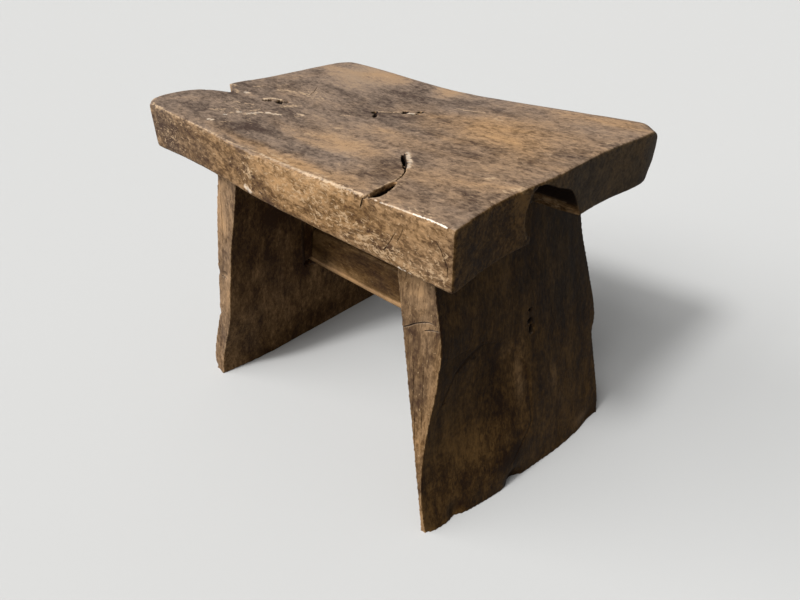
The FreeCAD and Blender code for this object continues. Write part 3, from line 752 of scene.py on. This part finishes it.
def seat_look(points, facing):
    """Tone, warmth, dullness, scars and rubbed edges of the seat, where the first and the third also hold
    painted shade.
    """
    x, y, z = points.T
    bx, by, bz = bend(points, 301)
    wx, wy, _ = bend(points, 307, 14.0)
    up, front, right, left, down, back = (facing[:, i] for i in (UP, FRONT, RIGHT, LEFT, DOWN, BACK))
    tone = 0.5 + 0.5 * up * zones(x, y, TOP_TONES, bx, by)
    tone += front * (0.5 * zones(x, z, FRONT_TONES, bx, 0.4 * bz) - 0.1)
    # Painted shade: the underside is darker.
    tone += right * (0.5 * zones(y, z, END_TONES, by, 0.4 * bz) - 0.06) - 0.1 * down
    warm = up * zones(x, y, TOP_WARMTH, wx, wy)
    warm += front * (0.75 + zones(x, z, FRONT_WARMTH, wx, 0.3 * bz))
    warm += right * ramp(-y / MM, -20.0, 90.0) + 0.6 * (down + back) + 0.5 * left
    # Darkening by face, partly end grain and partly painted shade: the ends, the underside, the back and the
    # faces turned from the light take the most.
    dull = 0.36 * front + 0.93 * right + 0.55 * left + 0.5 * down + 0.35 * back
    scar = up * (zones(x, y, TOP_SCARS, bx, by) + 0.12)
    scar += front * (zones(x, z, FRONT_SCARS, bx, 0.4 * bz) + 0.35) + 0.05 * right + 0.1 * (left + back)
    x, y, z = points.T / MM
    rub = 0.15 + spot(y, z, -162, 368, 10, 7) * (0.1 + 0.6 * soft_box(x, -20, 118, 50))
    rub += 0.4 * spot(x, y, -222, -140, 14, 26)
    rub += 0.5 * spot(x, y, 222, -52, 14, 20) * ramp(z, 350, 360)
    bite = in_bite(points) * (1 - right)
    split_wall = soft_box(x, -222, -176, 6) * soft_box(y, -78, -52, 4) * (1 - up)
    gap, below = below_line(points, CRACK_LINE)
    crack_wall = (gap < 11) * (y > -160) * (1 - ramp(up, 0.1, 0.6)) * (1 - ramp(below, 2.4, 4.0))
    # Painted shade darkens the inside of the bite.
    tone = tone * (1 - 0.4 * bite) + 0.15 * split_wall + 0.15 * crack_wall
    warm = warm + 0.6 * bite + 0.5 * split_wall + 0.6 * crack_wall
    return tone, warm, dull * (1 - 0.3 * split_wall) * (1 - crack_wall), scar, rub


def in_bite(points):
    """1 inside the open bite in the seat's right end."""
    x, y, z = points.T / MM
    return soft_box(x, 160, 215, 2) * soft_box(y, -72, 22, 3) * (z > 312) * (1 - ramp(z, 363, 367))


def below_line(points, line):
    """How far in plan each point is from a line on the seat's top, and how far below it."""
    level = np.mean([place[2] for place in line])
    flat = np.column_stack([points[:, :2] / MM, np.full(len(points), level)])
    gap, _ = distance_to_line(flat, [(x, y, level) for x, y, _ in line])
    return gap, level - points[:, 2] / MM


def seat_hole_shade(points, facing):
    """Painted shade in the seat's crack, slots, pith holes and bite: how dark their walls are painted, 1
    where they are black.
    """
    x, y, z = points.T / MM
    steep = 1.0 - ramp(facing[:, UP] + facing[:, FRONT] * (y < -155), 0.05, 0.6)
    over_mortises = (z > 325) * (1 - facing[:, DOWN])
    gap, below = below_line(points, CRACK_LINE)
    deep = np.maximum(in_bite(points) * (1 - facing[:, RIGHT]) * ramp(z, 326, 331),
                      (gap < 11.0) * steep * ramp(below, 2.2, 3.8))
    for line in SHUT_LINES:
        gap, below = below_line(points, line)
        dark = np.maximum(ramp(below, 2.2, 3.0), steep * ramp(below, 0.8, 1.6))
        deep = np.maximum(deep, (gap < 4.4) * dark * over_mortises)
    for middle_x, middle_y, half_length, half_width, turn in SHADED_HOLE_OVALS:
        a, b = x - middle_x, y - middle_y
        c, s = math.cos(math.radians(turn)), math.sin(math.radians(turn))
        out = np.hypot((a * c + b * s) / half_length, (b * c - a * s) / half_width)
        deep = np.maximum(deep, (1 - ramp(out, 1.0, 1.25)) * over_mortises)
    return HOLE_SHADE * deep


def worm_hole_shade(points, facing):
    """Painted shade: black inside the right leg's old insect holes."""
    x, y, z = points.T / MM
    dark = np.zeros(len(x))
    for middle_y, middle_z, radius in WORM_HOLES:
        dark = np.maximum(dark, 1 - ramp(np.hypot(y - middle_y, z - middle_z), radius, radius + 0.8))
    return HOLE_SHADE * dark * (LEG_OUTER + LEG_OUTER_LEAN * z - x < WORM_REACH)


def seat_crumble(points):
    """How worn the seat's edges are: least beside the crack and holes, most along the front's top edge."""
    x, y, z = points.T / MM
    worn = 0.45 + 0.6 * spot(y, z, -162, 368, 9, 8) * soft_box(x, -20, 118, 50)
    worn += 0.5 * spot(x, y, 222, -50, 14, 30) * ramp(z, 352, 362) + 0.5 * spot(x, y, -224, -150, 18, 22)
    for line in CRISP_LINES:
        gap, _ = distance_to_line(points / MM, line)
        worn *= 1.0 - np.exp(-(gap / 7.0) ** 2)
    return np.clip(worn, 0, 1)


def leg_still(points):
    """The legs keep their CAD surface where they go into the seat and stand on the floor."""
    z = points[:, 2] / MM
    return (1 - ramp(z, 296, 312)) * (0.25 + 0.75 * ramp(z, 0, 6))


def right_leg_look(points, facing):
    """Tone, warmth, dullness, scars and rubbed edges of the right leg, where the first and the third also
    hold painted shade.
    """
    x, y, z = points.T
    bx, by, bz = bend(points, 401)
    front, right, left, back = (facing[:, i] for i in (FRONT, RIGHT, LEFT, BACK))
    # Painted shade: the outer face, turned from the light, and the inner face are darker.
    tone = 0.5 + right * (0.5 * zones(y, z, RIGHT_OUTER_TONES_AND_SHADE, 0.6 * by, bz) - 0.17)
    tone += front * (0.5 * zones(x, z, RIGHT_NARROW_TONES, 0.3 * bx, bz) - 0.10) - 0.2 * left
    warm = 0.75 * front + 0.8 * (left + back)
    warm += right * (1.0 - 0.4 * ramp(y / MM + by, 10, 70) * ramp(z / MM + bz, 150, 210))
    # Painted shade: the outer face, turned from the light, is darkened most, and less where the rim table
    # lies.
    dull = 0.5 * front + 1.0 * right + 0.3 * left + 0.4 * back
    dull -= 0.35 * right * zones(y, z, RIM_LESS_SHADE, 0.3 * by, 0.5 * bz)
    scar = 0.35 * front + 0.03 * right + 0.08 * left
    rub = 0.2 * front + 0.12 * (1 - right)
    return tone, warm, dull, scar, rub + np.zeros(len(x))


def left_leg_look(points, facing):
    """Tone, warmth, dullness, scars and rubbed edges of the left leg, where the first and the third also hold
    painted shade.
    """
    x, y, z = points.T
    bx, by, bz = bend(points, 421)
    front, right, left, back = (facing[:, i] for i in (FRONT, RIGHT, LEFT, BACK))
    # Painted shade: the inner face, turned from the light under the seat, is darker.
    tone = 0.5 + right * (0.5 * zones(y, z, LEFT_INNER_TONES_AND_SHADE, by, bz) - 0.2)
    tone += front * (0.5 * zones(x, z, LEFT_NARROW_TONES_AND_SHADE, 0.3 * bx, bz) - 0.11) - 0.1 * left
    warm = 0.55 * front + 1.0 * right + 0.7 * (left + back)
    # Painted shade on the faces turned from the light.
    dull = 0.3 * front + 0.35 * right + 0.4 * left + 0.4 * back
    scar = 0.3 * front + 0.03 * right + 0.1 * left
    rub = 0.15 + 0.25 * front
    return tone, warm, dull, scar, rub + np.zeros(len(x))


def leg_crumble(points):
    """How worn the edges of the legs and stretcher are: a little, and the same everywhere."""
    return np.full(len(points), 0.28)


def stretcher_look(points, facing):
    """Tone, warmth, dullness, scars and rubbed edges of the stretcher: painted dark as the seat's shadow,
    with a painted lit strip low on its front where light passes under the seat.
    """
    x, y, z = points.T
    bx, by, bz = bend(points, 441)
    front = facing[:, FRONT]
    # Painted light on the strip below the seat's shadow line; the rest is painted darker and duller as shade.
    lit_band = front * (1.0 - ramp(z / MM + 0.25 * bz, 139.5, 142.5))
    tone = 0.31 + 0.24 * lit_band + 0.4 * front * zones(x, z, STRETCHER_LIGHT_AND_SHADE, bx, 0.3 * bz)
    nothing = np.zeros(len(x))
    return tone, nothing + 0.95, 0.62 - 0.5 * lit_band, nothing + 0.08, nothing + 0.25


def deepen_scoop(piece):
    """Cuts the rim of the right leg's scoop crisper by hollowing the face just inside it."""
    mesh = piece.data
    points, edges, normals = read_vertices(mesh, "co"), read_edges(mesh), read_vertices(mesh, "normal")
    side = points[:, 1:] / MM
    flat = np.column_stack([np.zeros(len(points)), side])
    gap, _ = distance_to_line(flat, [(0.0, y, z) for y, z in SCOOP_RIM])
    from_middle, rim = side - SCOOP_MIDDLE, np.array(SCOOP_RIM, float) - SCOOP_MIDDLE
    angle, rim_angle = (np.arctan2(way[:, 1], way[:, 0]) for way in (from_middle, rim))
    order = np.argsort(rim_angle)
    limit = np.interp(angle, rim_angle[order], np.linalg.norm(rim, axis=1)[order])
    inside = (np.linalg.norm(from_middle, axis=1) < limit) & (normals[:, 0] > 0.4)
    rag = 0.8 + 0.4 * fractal(points, (60, 60, 60), 29, 2)
    push = bpy.context.scene.stool_surface.scoop_crispness * MM * inside * rag
    push *= ramp(gap, 0.0, 3.0) * (1 - ramp(gap, 6.0, 26.0)) * (0.12 + 0.88 * ramp(side[:, 1], 92, 118))
    write_points(mesh, keep_in_box(points - normals * push[:, None], "right_leg"))


class Sheet:
    """Adds and joins the nodes of one material or node group."""

    def __init__(self, tree):
        self.tree = tree

    def add(self, kind, **settings):
        node = self.tree.nodes.new(kind)
        for name, value in settings.items():
            setattr(node, name, value)
        return node

    def feed(self, socket, value):
        if isinstance(value, bpy.types.NodeSocket):
            self.tree.links.new(value, socket)
        else:
            socket.default_value = value

    def fed(self, kind, **values):
        """A new node with the named inputs fed."""
        node = self.add(kind)
        for name, value in values.items():
            self.feed(node.inputs[name], value)
        return node

    def math(self, operation, first, second=0.0, third=0.0, clamp=False):
        node = self.add("ShaderNodeMath", operation=operation, use_clamp=clamp)
        for socket, value in zip(node.inputs, (first, second, third)):
            self.feed(socket, value)
        return node.outputs[0]

    def mix(self, share, first, second, blend="MIX"):
        node = self.add("ShaderNodeMix", data_type="RGBA", blend_type=blend)
        self.feed(node.inputs[0], share)
        self.feed(node.inputs[6], first)
        self.feed(node.inputs[7], second)
        return node.outputs[2]

    def placed(self, vector, scale=(1.0, 1.0, 1.0), turn=(0.0, 0.0, 0.0)):
        return self.fed("ShaderNodeMapping", Vector=vector, Scale=scale, Rotation=turn).outputs[0]

    def noise(self, vector, scale, detail=3.0, rough=0.55, distortion=0.0):
        return self.fed("ShaderNodeTexNoise", Vector=vector, Scale=scale, Detail=detail,
                        Roughness=rough, Distortion=distortion).outputs["Fac"]

    def spread(self, value, low, high):
        """0 below low, 1 above high and a smooth step between them."""
        node = self.add("ShaderNodeMapRange", interpolation_type="SMOOTHSTEP")
        for name, number in (("Value", value), ("From Min", low), ("From Max", high)):
            self.feed(node.inputs[name], number)
        return node.outputs[0]

    def peaks(self, value, amount, fall, start, soft):
        """Where value stands above an edge that comes down as amount rises."""
        edge = self.math("MULTIPLY_ADD", amount, -fall, start)
        return self.spread(value, edge, self.math("ADD", edge, soft))

    def colours(self, value, stops):
        node = self.add("ShaderNodeValToRGB")
        ramp_stops = node.color_ramp.elements
        while len(ramp_stops) < len(stops):
            ramp_stops.new(0.5)
        for stop, (position, colour) in zip(ramp_stops, stops):
            stop.position = position
            stop.color = (*colour, 1.0)
        self.feed(node.inputs[0], value)
        return node.outputs[0]

    def attribute(self, name):
        return self.add("ShaderNodeAttribute", attribute_name=name).outputs["Fac"]

    def group(self, tree, **inputs):
        node = self.add("ShaderNodeGroup", node_tree=tree)
        for name, value in inputs.items():
            self.feed(node.inputs[name], value)
        return node.outputs


def new_group(name, inputs, outputs):
    """An empty shader node group with its named sockets, and the sheet to fill it with."""
    if name in bpy.data.node_groups:
        return bpy.data.node_groups[name], None, None, None
    tree = bpy.data.node_groups.new(name, "ShaderNodeTree")
    for label, kind in inputs:
        tree.interface.new_socket(label, in_out="INPUT", socket_type=kind)
    for label in outputs:
        tree.interface.new_socket(label, in_out="OUTPUT", socket_type="NodeSocketFloat")
    sheet = Sheet(tree)
    return tree, sheet, sheet.add("NodeGroupInput").outputs, sheet.add("NodeGroupOutput").inputs


def noise_group(name, layers):
    """A node group that puts out one noise for each layer of a table."""
    tree, sheet, given, out = new_group(name, [("Vector", "NodeSocketVector")], [row[0] for row in layers])
    if sheet is not None:
        for label, stretch, *noise in layers:
            sheet.feed(out[label], sheet.noise(sheet.placed(given["Vector"], stretch), *noise))
    return tree


def scuffs():
    """Pale scratches and flecks, and small dark pits, as masks; more of them where Amount is high."""
    tree, sheet, given, out = new_group(
        "scuffs", [("Vector", "NodeSocketVector"), ("Amount", "NodeSocketFloat")],
        ["Scratches", "Flecks", "Pits"])
    if sheet is None:
        return tree
    vector, amount = given["Vector"], given["Amount"]
    masks = []
    for turn, stretch in ((0.35, (60, 900, 300)), (-0.5, (75, 800, 320)), (1.1, (90, 700, 300))):
        lines = sheet.noise(sheet.placed(vector, stretch, (0.2, -0.2, turn)), 1.0, 2.0, 0.5, 0.1)
        masks.append(sheet.peaks(lines, amount, 0.12, 0.76, 0.05))
    scratches = sheet.math("MAXIMUM", sheet.math("MAXIMUM", masks[0], masks[1]), masks[2])
    along = sheet.placed(vector, PATINA_STRETCH)
    rubs = sheet.peaks(sheet.noise(along, 120.0, 5.0, 0.7, 1.5), amount, 0.2, 0.76, 0.06)
    dots = sheet.peaks(sheet.noise(along, 330.0, 3.0, 0.6, 0.6), amount, 0.17, 0.73, 0.04)
    sheet.feed(out["Scratches"], scratches)
    sheet.feed(out["Flecks"], sheet.math("MAXIMUM", rubs, dots))
    sheet.feed(out["Pits"], sheet.spread(sheet.noise(vector, 480.0, 2.0, 0.5), 0.7, 0.78))
    return tree


def old_wood(name, long_axis, colours, layer_weights):
    """One slab's finish: patina over figured wood, rubbed pale on its edges and dark in its hollows, with
    painted shade on faces turned from the light, in hollows and in holes, and a few painted highlights along
    lit edges.
    """
    material = bpy.data.materials.new(name)
    material.use_nodes = True
    sheet = Sheet(material.node_tree)
    shader = material.node_tree.nodes["Principled BSDF"]
    along = sheet.placed(sheet.add("ShaderNodeTexCoord").outputs["Object"], turn=long_axis)
    figure = sheet.group(noise_group("wood_figure", WOOD_FIGURE), Vector=along)
    patina = sheet.group(noise_group("hand_patina", HAND_PATINA), Vector=sheet.placed(along, PATINA_STRETCH))
    marks = sheet.group(scuffs(), Vector=along, Amount=sheet.attribute("scar"))
    wear, grime, cut = sheet.attribute("wear"), sheet.attribute("grime"), sheet.attribute("cut")
    mottle = patina["Mottle"]
    level = sheet.attribute("tone")
    for source, weight in zip((*figure, *patina), layer_weights):
        level = sheet.math("ADD", level, sheet.math("MULTIPLY", sheet.math("SUBTRACT", source, 0.5), weight))
    clouds = sheet.math("SUBTRACT", patina["Clouds"], 0.5)
    golden = sheet.math("MULTIPLY_ADD", clouds, 1.3, sheet.attribute("warm"), clamp=True)
    cool, warm = stained(colours)
    colour = sheet.mix(golden, sheet.colours(level, cool), sheet.colours(level, warm))
    # Painted shade, partly end grain: the darkened faces are multiplied by the tint.
    tint = sheet.mix(sheet.attribute("dull"), (1.0, 1.0, 1.0, 1.0), (*colours.dull_and_shade_tint, 1.0))
    colour = sheet.mix(1.0, colour, tint, "MULTIPLY")
    pale = sheet.mix(1.0, (*colours.bare_wood, 1.0), tint, "MULTIPLY")
    dirt_and_shade = (*colours.grime, 1.0)
    # Rubbed pale edges and chips, with the fainter painted highlights.
    rubbed = sheet.math("MULTIPLY", wear, sheet.spread(mottle, 0.36, 0.6), clamp=True)
    for mask, share in ((rubbed, 0.85), (marks["Scratches"], 0.35), (marks["Flecks"], 0.65)):
        colour = sheet.mix(sheet.math("MULTIPLY", mask, share), colour, pale)
    # The whitest marks: the brightest chips, and the painted highlights along lit edges.
    colour = sheet.mix(sheet.attribute("chalk"), colour, CHALK_AND_GLINT)
    # The pits are dirty; the hollows are dirty and hold painted shade.
    for mask, share in ((marks["Pits"], 0.6), (grime, 0.5)):
        colour = sheet.mix(sheet.math("MULTIPLY", mask, share), colour, dirt_and_shade)
    # Painted shade: the walls of cracks, holes and the bite go nearly black.
    colour = sheet.mix(cut, colour, (dirt_and_shade[0] * 0.35, dirt_and_shade[1] * 0.3, dirt_and_shade[2] * 0.3, 1.0))
    sheet.feed(shader.inputs["Base Color"], colour)
    rough = sheet.math("MULTIPLY_ADD", patina["Blotches"], 0.35, 0.38)
    rough = sheet.math("MULTIPLY_ADD", grime, 0.2, rough, clamp=True)
    sheet.feed(shader.inputs["Roughness"], rough)
    shader.inputs["Specular IOR Level"].default_value = 0.07
    height = sheet.math("MULTIPLY", figure["Fibres"], 0.35)
    for source, weight in ((figure["Streaks"], 0.25), (mottle, 0.5),
                           (marks["Scratches"], -0.3), (marks["Pits"], -0.5)):
        height = sheet.math("MULTIPLY_ADD", source, weight, height)
    bump = sheet.fed("ShaderNodeBump", Strength=0.8, Distance=MM, Height=height)
    sheet.feed(shader.inputs["Normal"], bump.outputs[0])
    return material


def stained(colours):
    """The two colour ramps of the old wood, purple-grey and golden."""
    dark, brown, tan, bare = (np.array(c) for c in (
        colours.dark_patina, colours.brown_patina, colours.rubbed_tan, colours.bare_wood))
    cool = ((0.0, dark), (0.32, 0.6 * brown), (0.6, brown), (1.0, 0.7 * brown + 0.3 * bare))
    warm = ((0.0, dark * (0.9, 0.62, 0.32)), (0.32, tan * (0.51, 0.47, 0.38)), (0.6, tan), (1.0, 1.5 * tan))
    return cool, warm


def dress(piece, node, material):
    """Gives a finished slab its material and puts it in place of its CAD node."""
    piece.data.materials.clear()
    piece.data.materials.append(material)
    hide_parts(node)
    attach(piece, "root")


def make_slab(node, slot, material, seed, look, hole_shade=None, rework=None, **aging):
    """Makes the weathered copy of one CAD slab, marks where it is worn and dirty and where light and shade
    are painted, and dresses it.
    """
    piece = merged_copy(node, "weathered_" + node)
    inside, bare = weather(piece, node, seed, **aging)
    if rework is not None:
        rework(piece)
    mark(piece, inside, bare, seed, look, hole_shade)
    dress(piece, node, material)


def length(name, description, default, low, high):
    """A length that a user can change."""
    return FloatProperty(name=name, description=description, default=default, min=low, max=high,
                         unit="LENGTH", precision=4)


def stain(name, description, default):
    """A colour that a user can change."""
    return FloatVectorProperty(name=name, description=description, subtype="COLOR", size=3,
                               default=default, min=0.0, max=1.0)


def light(name, description, default):
    """A lamp's brightness that a user can change."""
    return FloatProperty(name=name, description=description, default=default, min=0.0, max=10.0)


class StoolSurface(bpy.types.PropertyGroup):
    skin_cell: length("Skin cell", "Size of the faces that the slabs are sculpted with", 0.0013, 0.0008, 0.01)
    draft_cell: length("Draft cell", "Size of the faces in a quick look", 0.003, 0.001, 0.02)
    slab_faces: IntProperty(
        name="Slab faces", description="Most triangles of one slab before its cracks are cut",
        default=124000, min=20000, max=180000)
    draft_faces: IntProperty(
        name="Draft faces", description="Most triangles of one slab in a quick look",
        default=60000, min=10000, max=180000)
    hewn_depth: length("Hewn depth", "How deep the broad hollows of the hewing are", 0.0011, 0.0, 0.004)
    ridge_depth: length("Ridge depth", "How deep the soft grain has worn away", 0.0003, 0.0, 0.002)
    edge_wear: length("Edge wear", "How far the edges are worn and chipped back", 0.0010, 0.0, 0.006)
    scoop_crispness: FloatProperty(
        name="Scoop crispness", description="Millimetres by which the leg's scoop is cut back inside its rim",
        default=2.2, min=0.0, max=5.0)


class StoolColours(bpy.types.PropertyGroup):
    dark_patina: stain("Dark patina", "The purple-brown of the least rubbed places", (0.060, 0.038, 0.029))
    brown_patina: stain("Brown patina", "The seat's middle brown", (0.205, 0.146, 0.107))
    rubbed_tan: stain(
        "Rubbed tan", "Where hands and clothes have rubbed the patina off", (0.275, 0.161, 0.076))
    bare_wood: stain("Bare wood", "Pale wood in scratches and on chipped edges", (0.500, 0.350, 0.215))
    # Painted shade, partly end grain: the tint of end grain and of the faces turned from the light.
    dull_and_shade_tint: stain(
        "Dull tint", "How much of each colour is left on end grain and dark faces", (0.27, 0.24, 0.15))
    # The dark colour of dirty wood, used also for painted shade in hollows and, darker still, in cracks and
    # holes.
    grime: stain("Grime", "Dirt in hollows, cracks and pits", (0.030, 0.020, 0.014))
    floor: stain("Floor", "The plain pale floor", (0.5, 0.5, 0.492))


class StoolStudio(bpy.types.PropertyGroup):
    key: light("Key light", "Light that the front light throws on the floor", 0.90)
    fill: light("Fill light", "Light that the broad left light throws on the floor", 0.33)
    sky: light("Sky", "Even light from all round", 0.27)


def sun(name, direction, spread, brightness):
    """A far lamp that throws the given brightness on a level floor."""
    toward = Vector(direction).normalized()
    lamp = bpy.data.lights.new(name, "SUN")
    lamp.angle = math.radians(spread)
    lamp.energy = brightness * math.pi / toward.z
    holder = bpy.data.objects.new(name, lamp)
    holder.rotation_euler = toward.to_track_quat("Z", "Y").to_euler()
    bpy.context.scene.collection.objects.link(holder)


def photo_camera():
    """The camera that the photograph was taken with, as fitted to the stool's corners."""
    azimuth, height, roll = (math.radians(angle) for angle in CAMERA_ANGLES)
    right = Vector((math.cos(azimuth), math.sin(azimuth), 0.0))
    forward = Vector((-math.sin(azimuth), math.cos(azimuth), 0.0))
    back = Vector((0.0, 0.0, math.sin(height))) - forward * math.cos(height)
    up = back.cross(right)
    across = right * math.cos(roll) + up * math.sin(roll)
    upward = up * math.cos(roll) - right * math.sin(roll)
    camera = bpy.data.cameras.new("camera")
    camera.sensor_width = SENSOR_WIDTH
    camera.lens = FOCAL_PIXELS / PHOTO_WIDTH * SENSOR_WIDTH
    holder = bpy.data.objects.new("camera", camera)
    bpy.context.scene.collection.objects.link(holder)
    turned = Matrix((across, upward, back)).transposed().to_4x4()
    turned.translation = CAMERA_PLACE
    holder.matrix_world = turned
    bpy.context.scene.camera = holder


def floor_material(colour):
    """A plain matt floor that throws back less light than it shows."""
    material = bpy.data.materials.new("pale_floor")
    material.use_nodes = True
    sheet = Sheet(material.node_tree)
    shader = material.node_tree.nodes["Principled BSDF"]
    seen = sheet.add("ShaderNodeLightPath").outputs["Is Camera Ray"]
    dim = tuple(0.55 * c for c in colour)
    sheet.feed(shader.inputs["Base Color"], sheet.mix(seen, (*dim, 1.0), (*colour, 1.0)))
    shader.inputs["Roughness"].default_value = 1.0
    shader.inputs["Specular IOR Level"].default_value = 0.0
    return material


class STOOL_OT_stage(bpy.types.Operator):
    """Lays the floor and sets up the lights and the camera"""
    bl_idname = "stool.stage"
    bl_label = "Stage"

    def execute(self, context):
        studio, colours = context.scene.stool_studio, context.scene.stool_colours
        bm = bmesh.new()
        bmesh.ops.create_grid(bm, x_segments=1, y_segments=1, size=HALF_FLOOR)
        mesh = bpy.data.meshes.new("floor")
        bm.to_mesh(mesh)
        bm.free()
        floor = bpy.data.objects.new("floor", mesh)
        context.scene.collection.objects.link(floor)
        floor.data.materials.append(floor_material(colours.floor))
        sun("key_light", (-0.12, -1.0, 1.03), 9.0, studio.key * 0.55)
        sun("key_glow", (0.0, -1.0, 0.95), 32.0, studio.key * 0.45)
        sun("fill_light", (-0.60, -0.74, 0.33), 56.0, studio.fill)
        world = bpy.data.worlds.new("studio")
        world.use_nodes = True
        world.node_tree.nodes["Background"].inputs["Color"].default_value = (1.0, 1.0, 1.0, 1.0)
        world.node_tree.nodes["Background"].inputs["Strength"].default_value = studio.sky
        context.scene.world = world
        context.scene.view_settings.view_transform = "Standard"
        photo_camera()
        return {"FINISHED"}


class STOOL_OT_seat(bpy.types.Operator):
    """Weathers the thick seat slab and cuts its cracks"""
    bl_idname = "stool.seat"
    bl_label = "Seat"

    def execute(self, context):
        wood = old_wood("seat_wood", LEVEL, context.scene.stool_colours, SEAT_WEIGHTS)
        make_slab("seat", "seat_wood", wood, 11, seat_look, hole_shade=seat_hole_shade, grain=LEVEL_GRAIN,
                  crumble=seat_crumble, cuts=SEAT_CUTS, lips=SEAT_LIPS_AND_GLINTS, trim=shape_seat)
        return {"FINISHED"}


class STOOL_OT_legs(bpy.types.Operator):
    """Weathers the two slab legs and cuts their cracks"""
    bl_idname = "stool.legs"
    bl_label = "Legs"

    def execute(self, context):
        wood = old_wood("leg_wood", UPRIGHT, context.scene.stool_colours, LEG_WEIGHTS)
        make_slab("right_leg", "leg_wood", wood, 23, right_leg_look, hole_shade=worm_hole_shade, rework=deepen_scoop,
                  grain=UPRIGHT_GRAIN, crumble=leg_crumble, cuts=RIGHT_LEG_CUTS, still=leg_still,
                  trim=partial(pare, table=RIGHT_LEG_NOTCHES))
        make_slab("left_leg", "leg_wood", wood, 37, left_leg_look,
                  grain=UPRIGHT_GRAIN, crumble=leg_crumble, cuts=LEFT_LEG_CUTS, still=leg_still,
                  trim=partial(pare, table=LEFT_LEG_NOTCHES))
        return {"FINISHED"}


class STOOL_OT_stretcher(bpy.types.Operator):
    """Weathers the low bar between the legs"""
    bl_idname = "stool.stretcher"
    bl_label = "Stretcher"

    def execute(self, context):
        wood = old_wood("stretcher_wood", LEVEL, context.scene.stool_colours, STRETCHER_WEIGHTS)
        make_slab("stretcher", "stretcher_wood", wood, 51, stretcher_look, grain=LEVEL_GRAIN,
                  crumble=leg_crumble)
        return {"FINISHED"}


class STOOL_PT_panel(bpy.types.Panel):
    bl_idname = "STOOL_PT_panel"
    bl_label = "Hewn Slab Stool"
    bl_space_type = "VIEW_3D"
    bl_region_type = "UI"
    bl_category = "Stool"

    def draw(self, context):
        layout = self.layout
        for operator in OPERATORS:
            layout.operator(operator.bl_idname)
        for group in (context.scene.stool_surface, context.scene.stool_colours, context.scene.stool_studio):
            box = layout.box()
            for name in group.__annotations__:
                box.prop(group, name)


OPERATORS = (STOOL_OT_stage, STOOL_OT_seat, STOOL_OT_legs, STOOL_OT_stretcher)
CLASSES = (StoolSurface, StoolColours, StoolStudio, *OPERATORS, STOOL_PT_panel)


def register():
    for cls in CLASSES:
        bpy.utils.register_class(cls)
    bpy.types.Scene.stool_surface = PointerProperty(type=StoolSurface)
    bpy.types.Scene.stool_colours = PointerProperty(type=StoolColours)
    bpy.types.Scene.stool_studio = PointerProperty(type=StoolStudio)


def unregister():
    del bpy.types.Scene.stool_studio
    del bpy.types.Scene.stool_colours
    del bpy.types.Scene.stool_surface
    for cls in reversed(CLASSES):
        bpy.utils.unregister_class(cls)


def main():
    register()
    bpy.ops.stool.stage()
    bpy.ops.stool.seat()
    bpy.ops.stool.legs()
    bpy.ops.stool.stretcher()


if __name__ == "__main__":
    main()
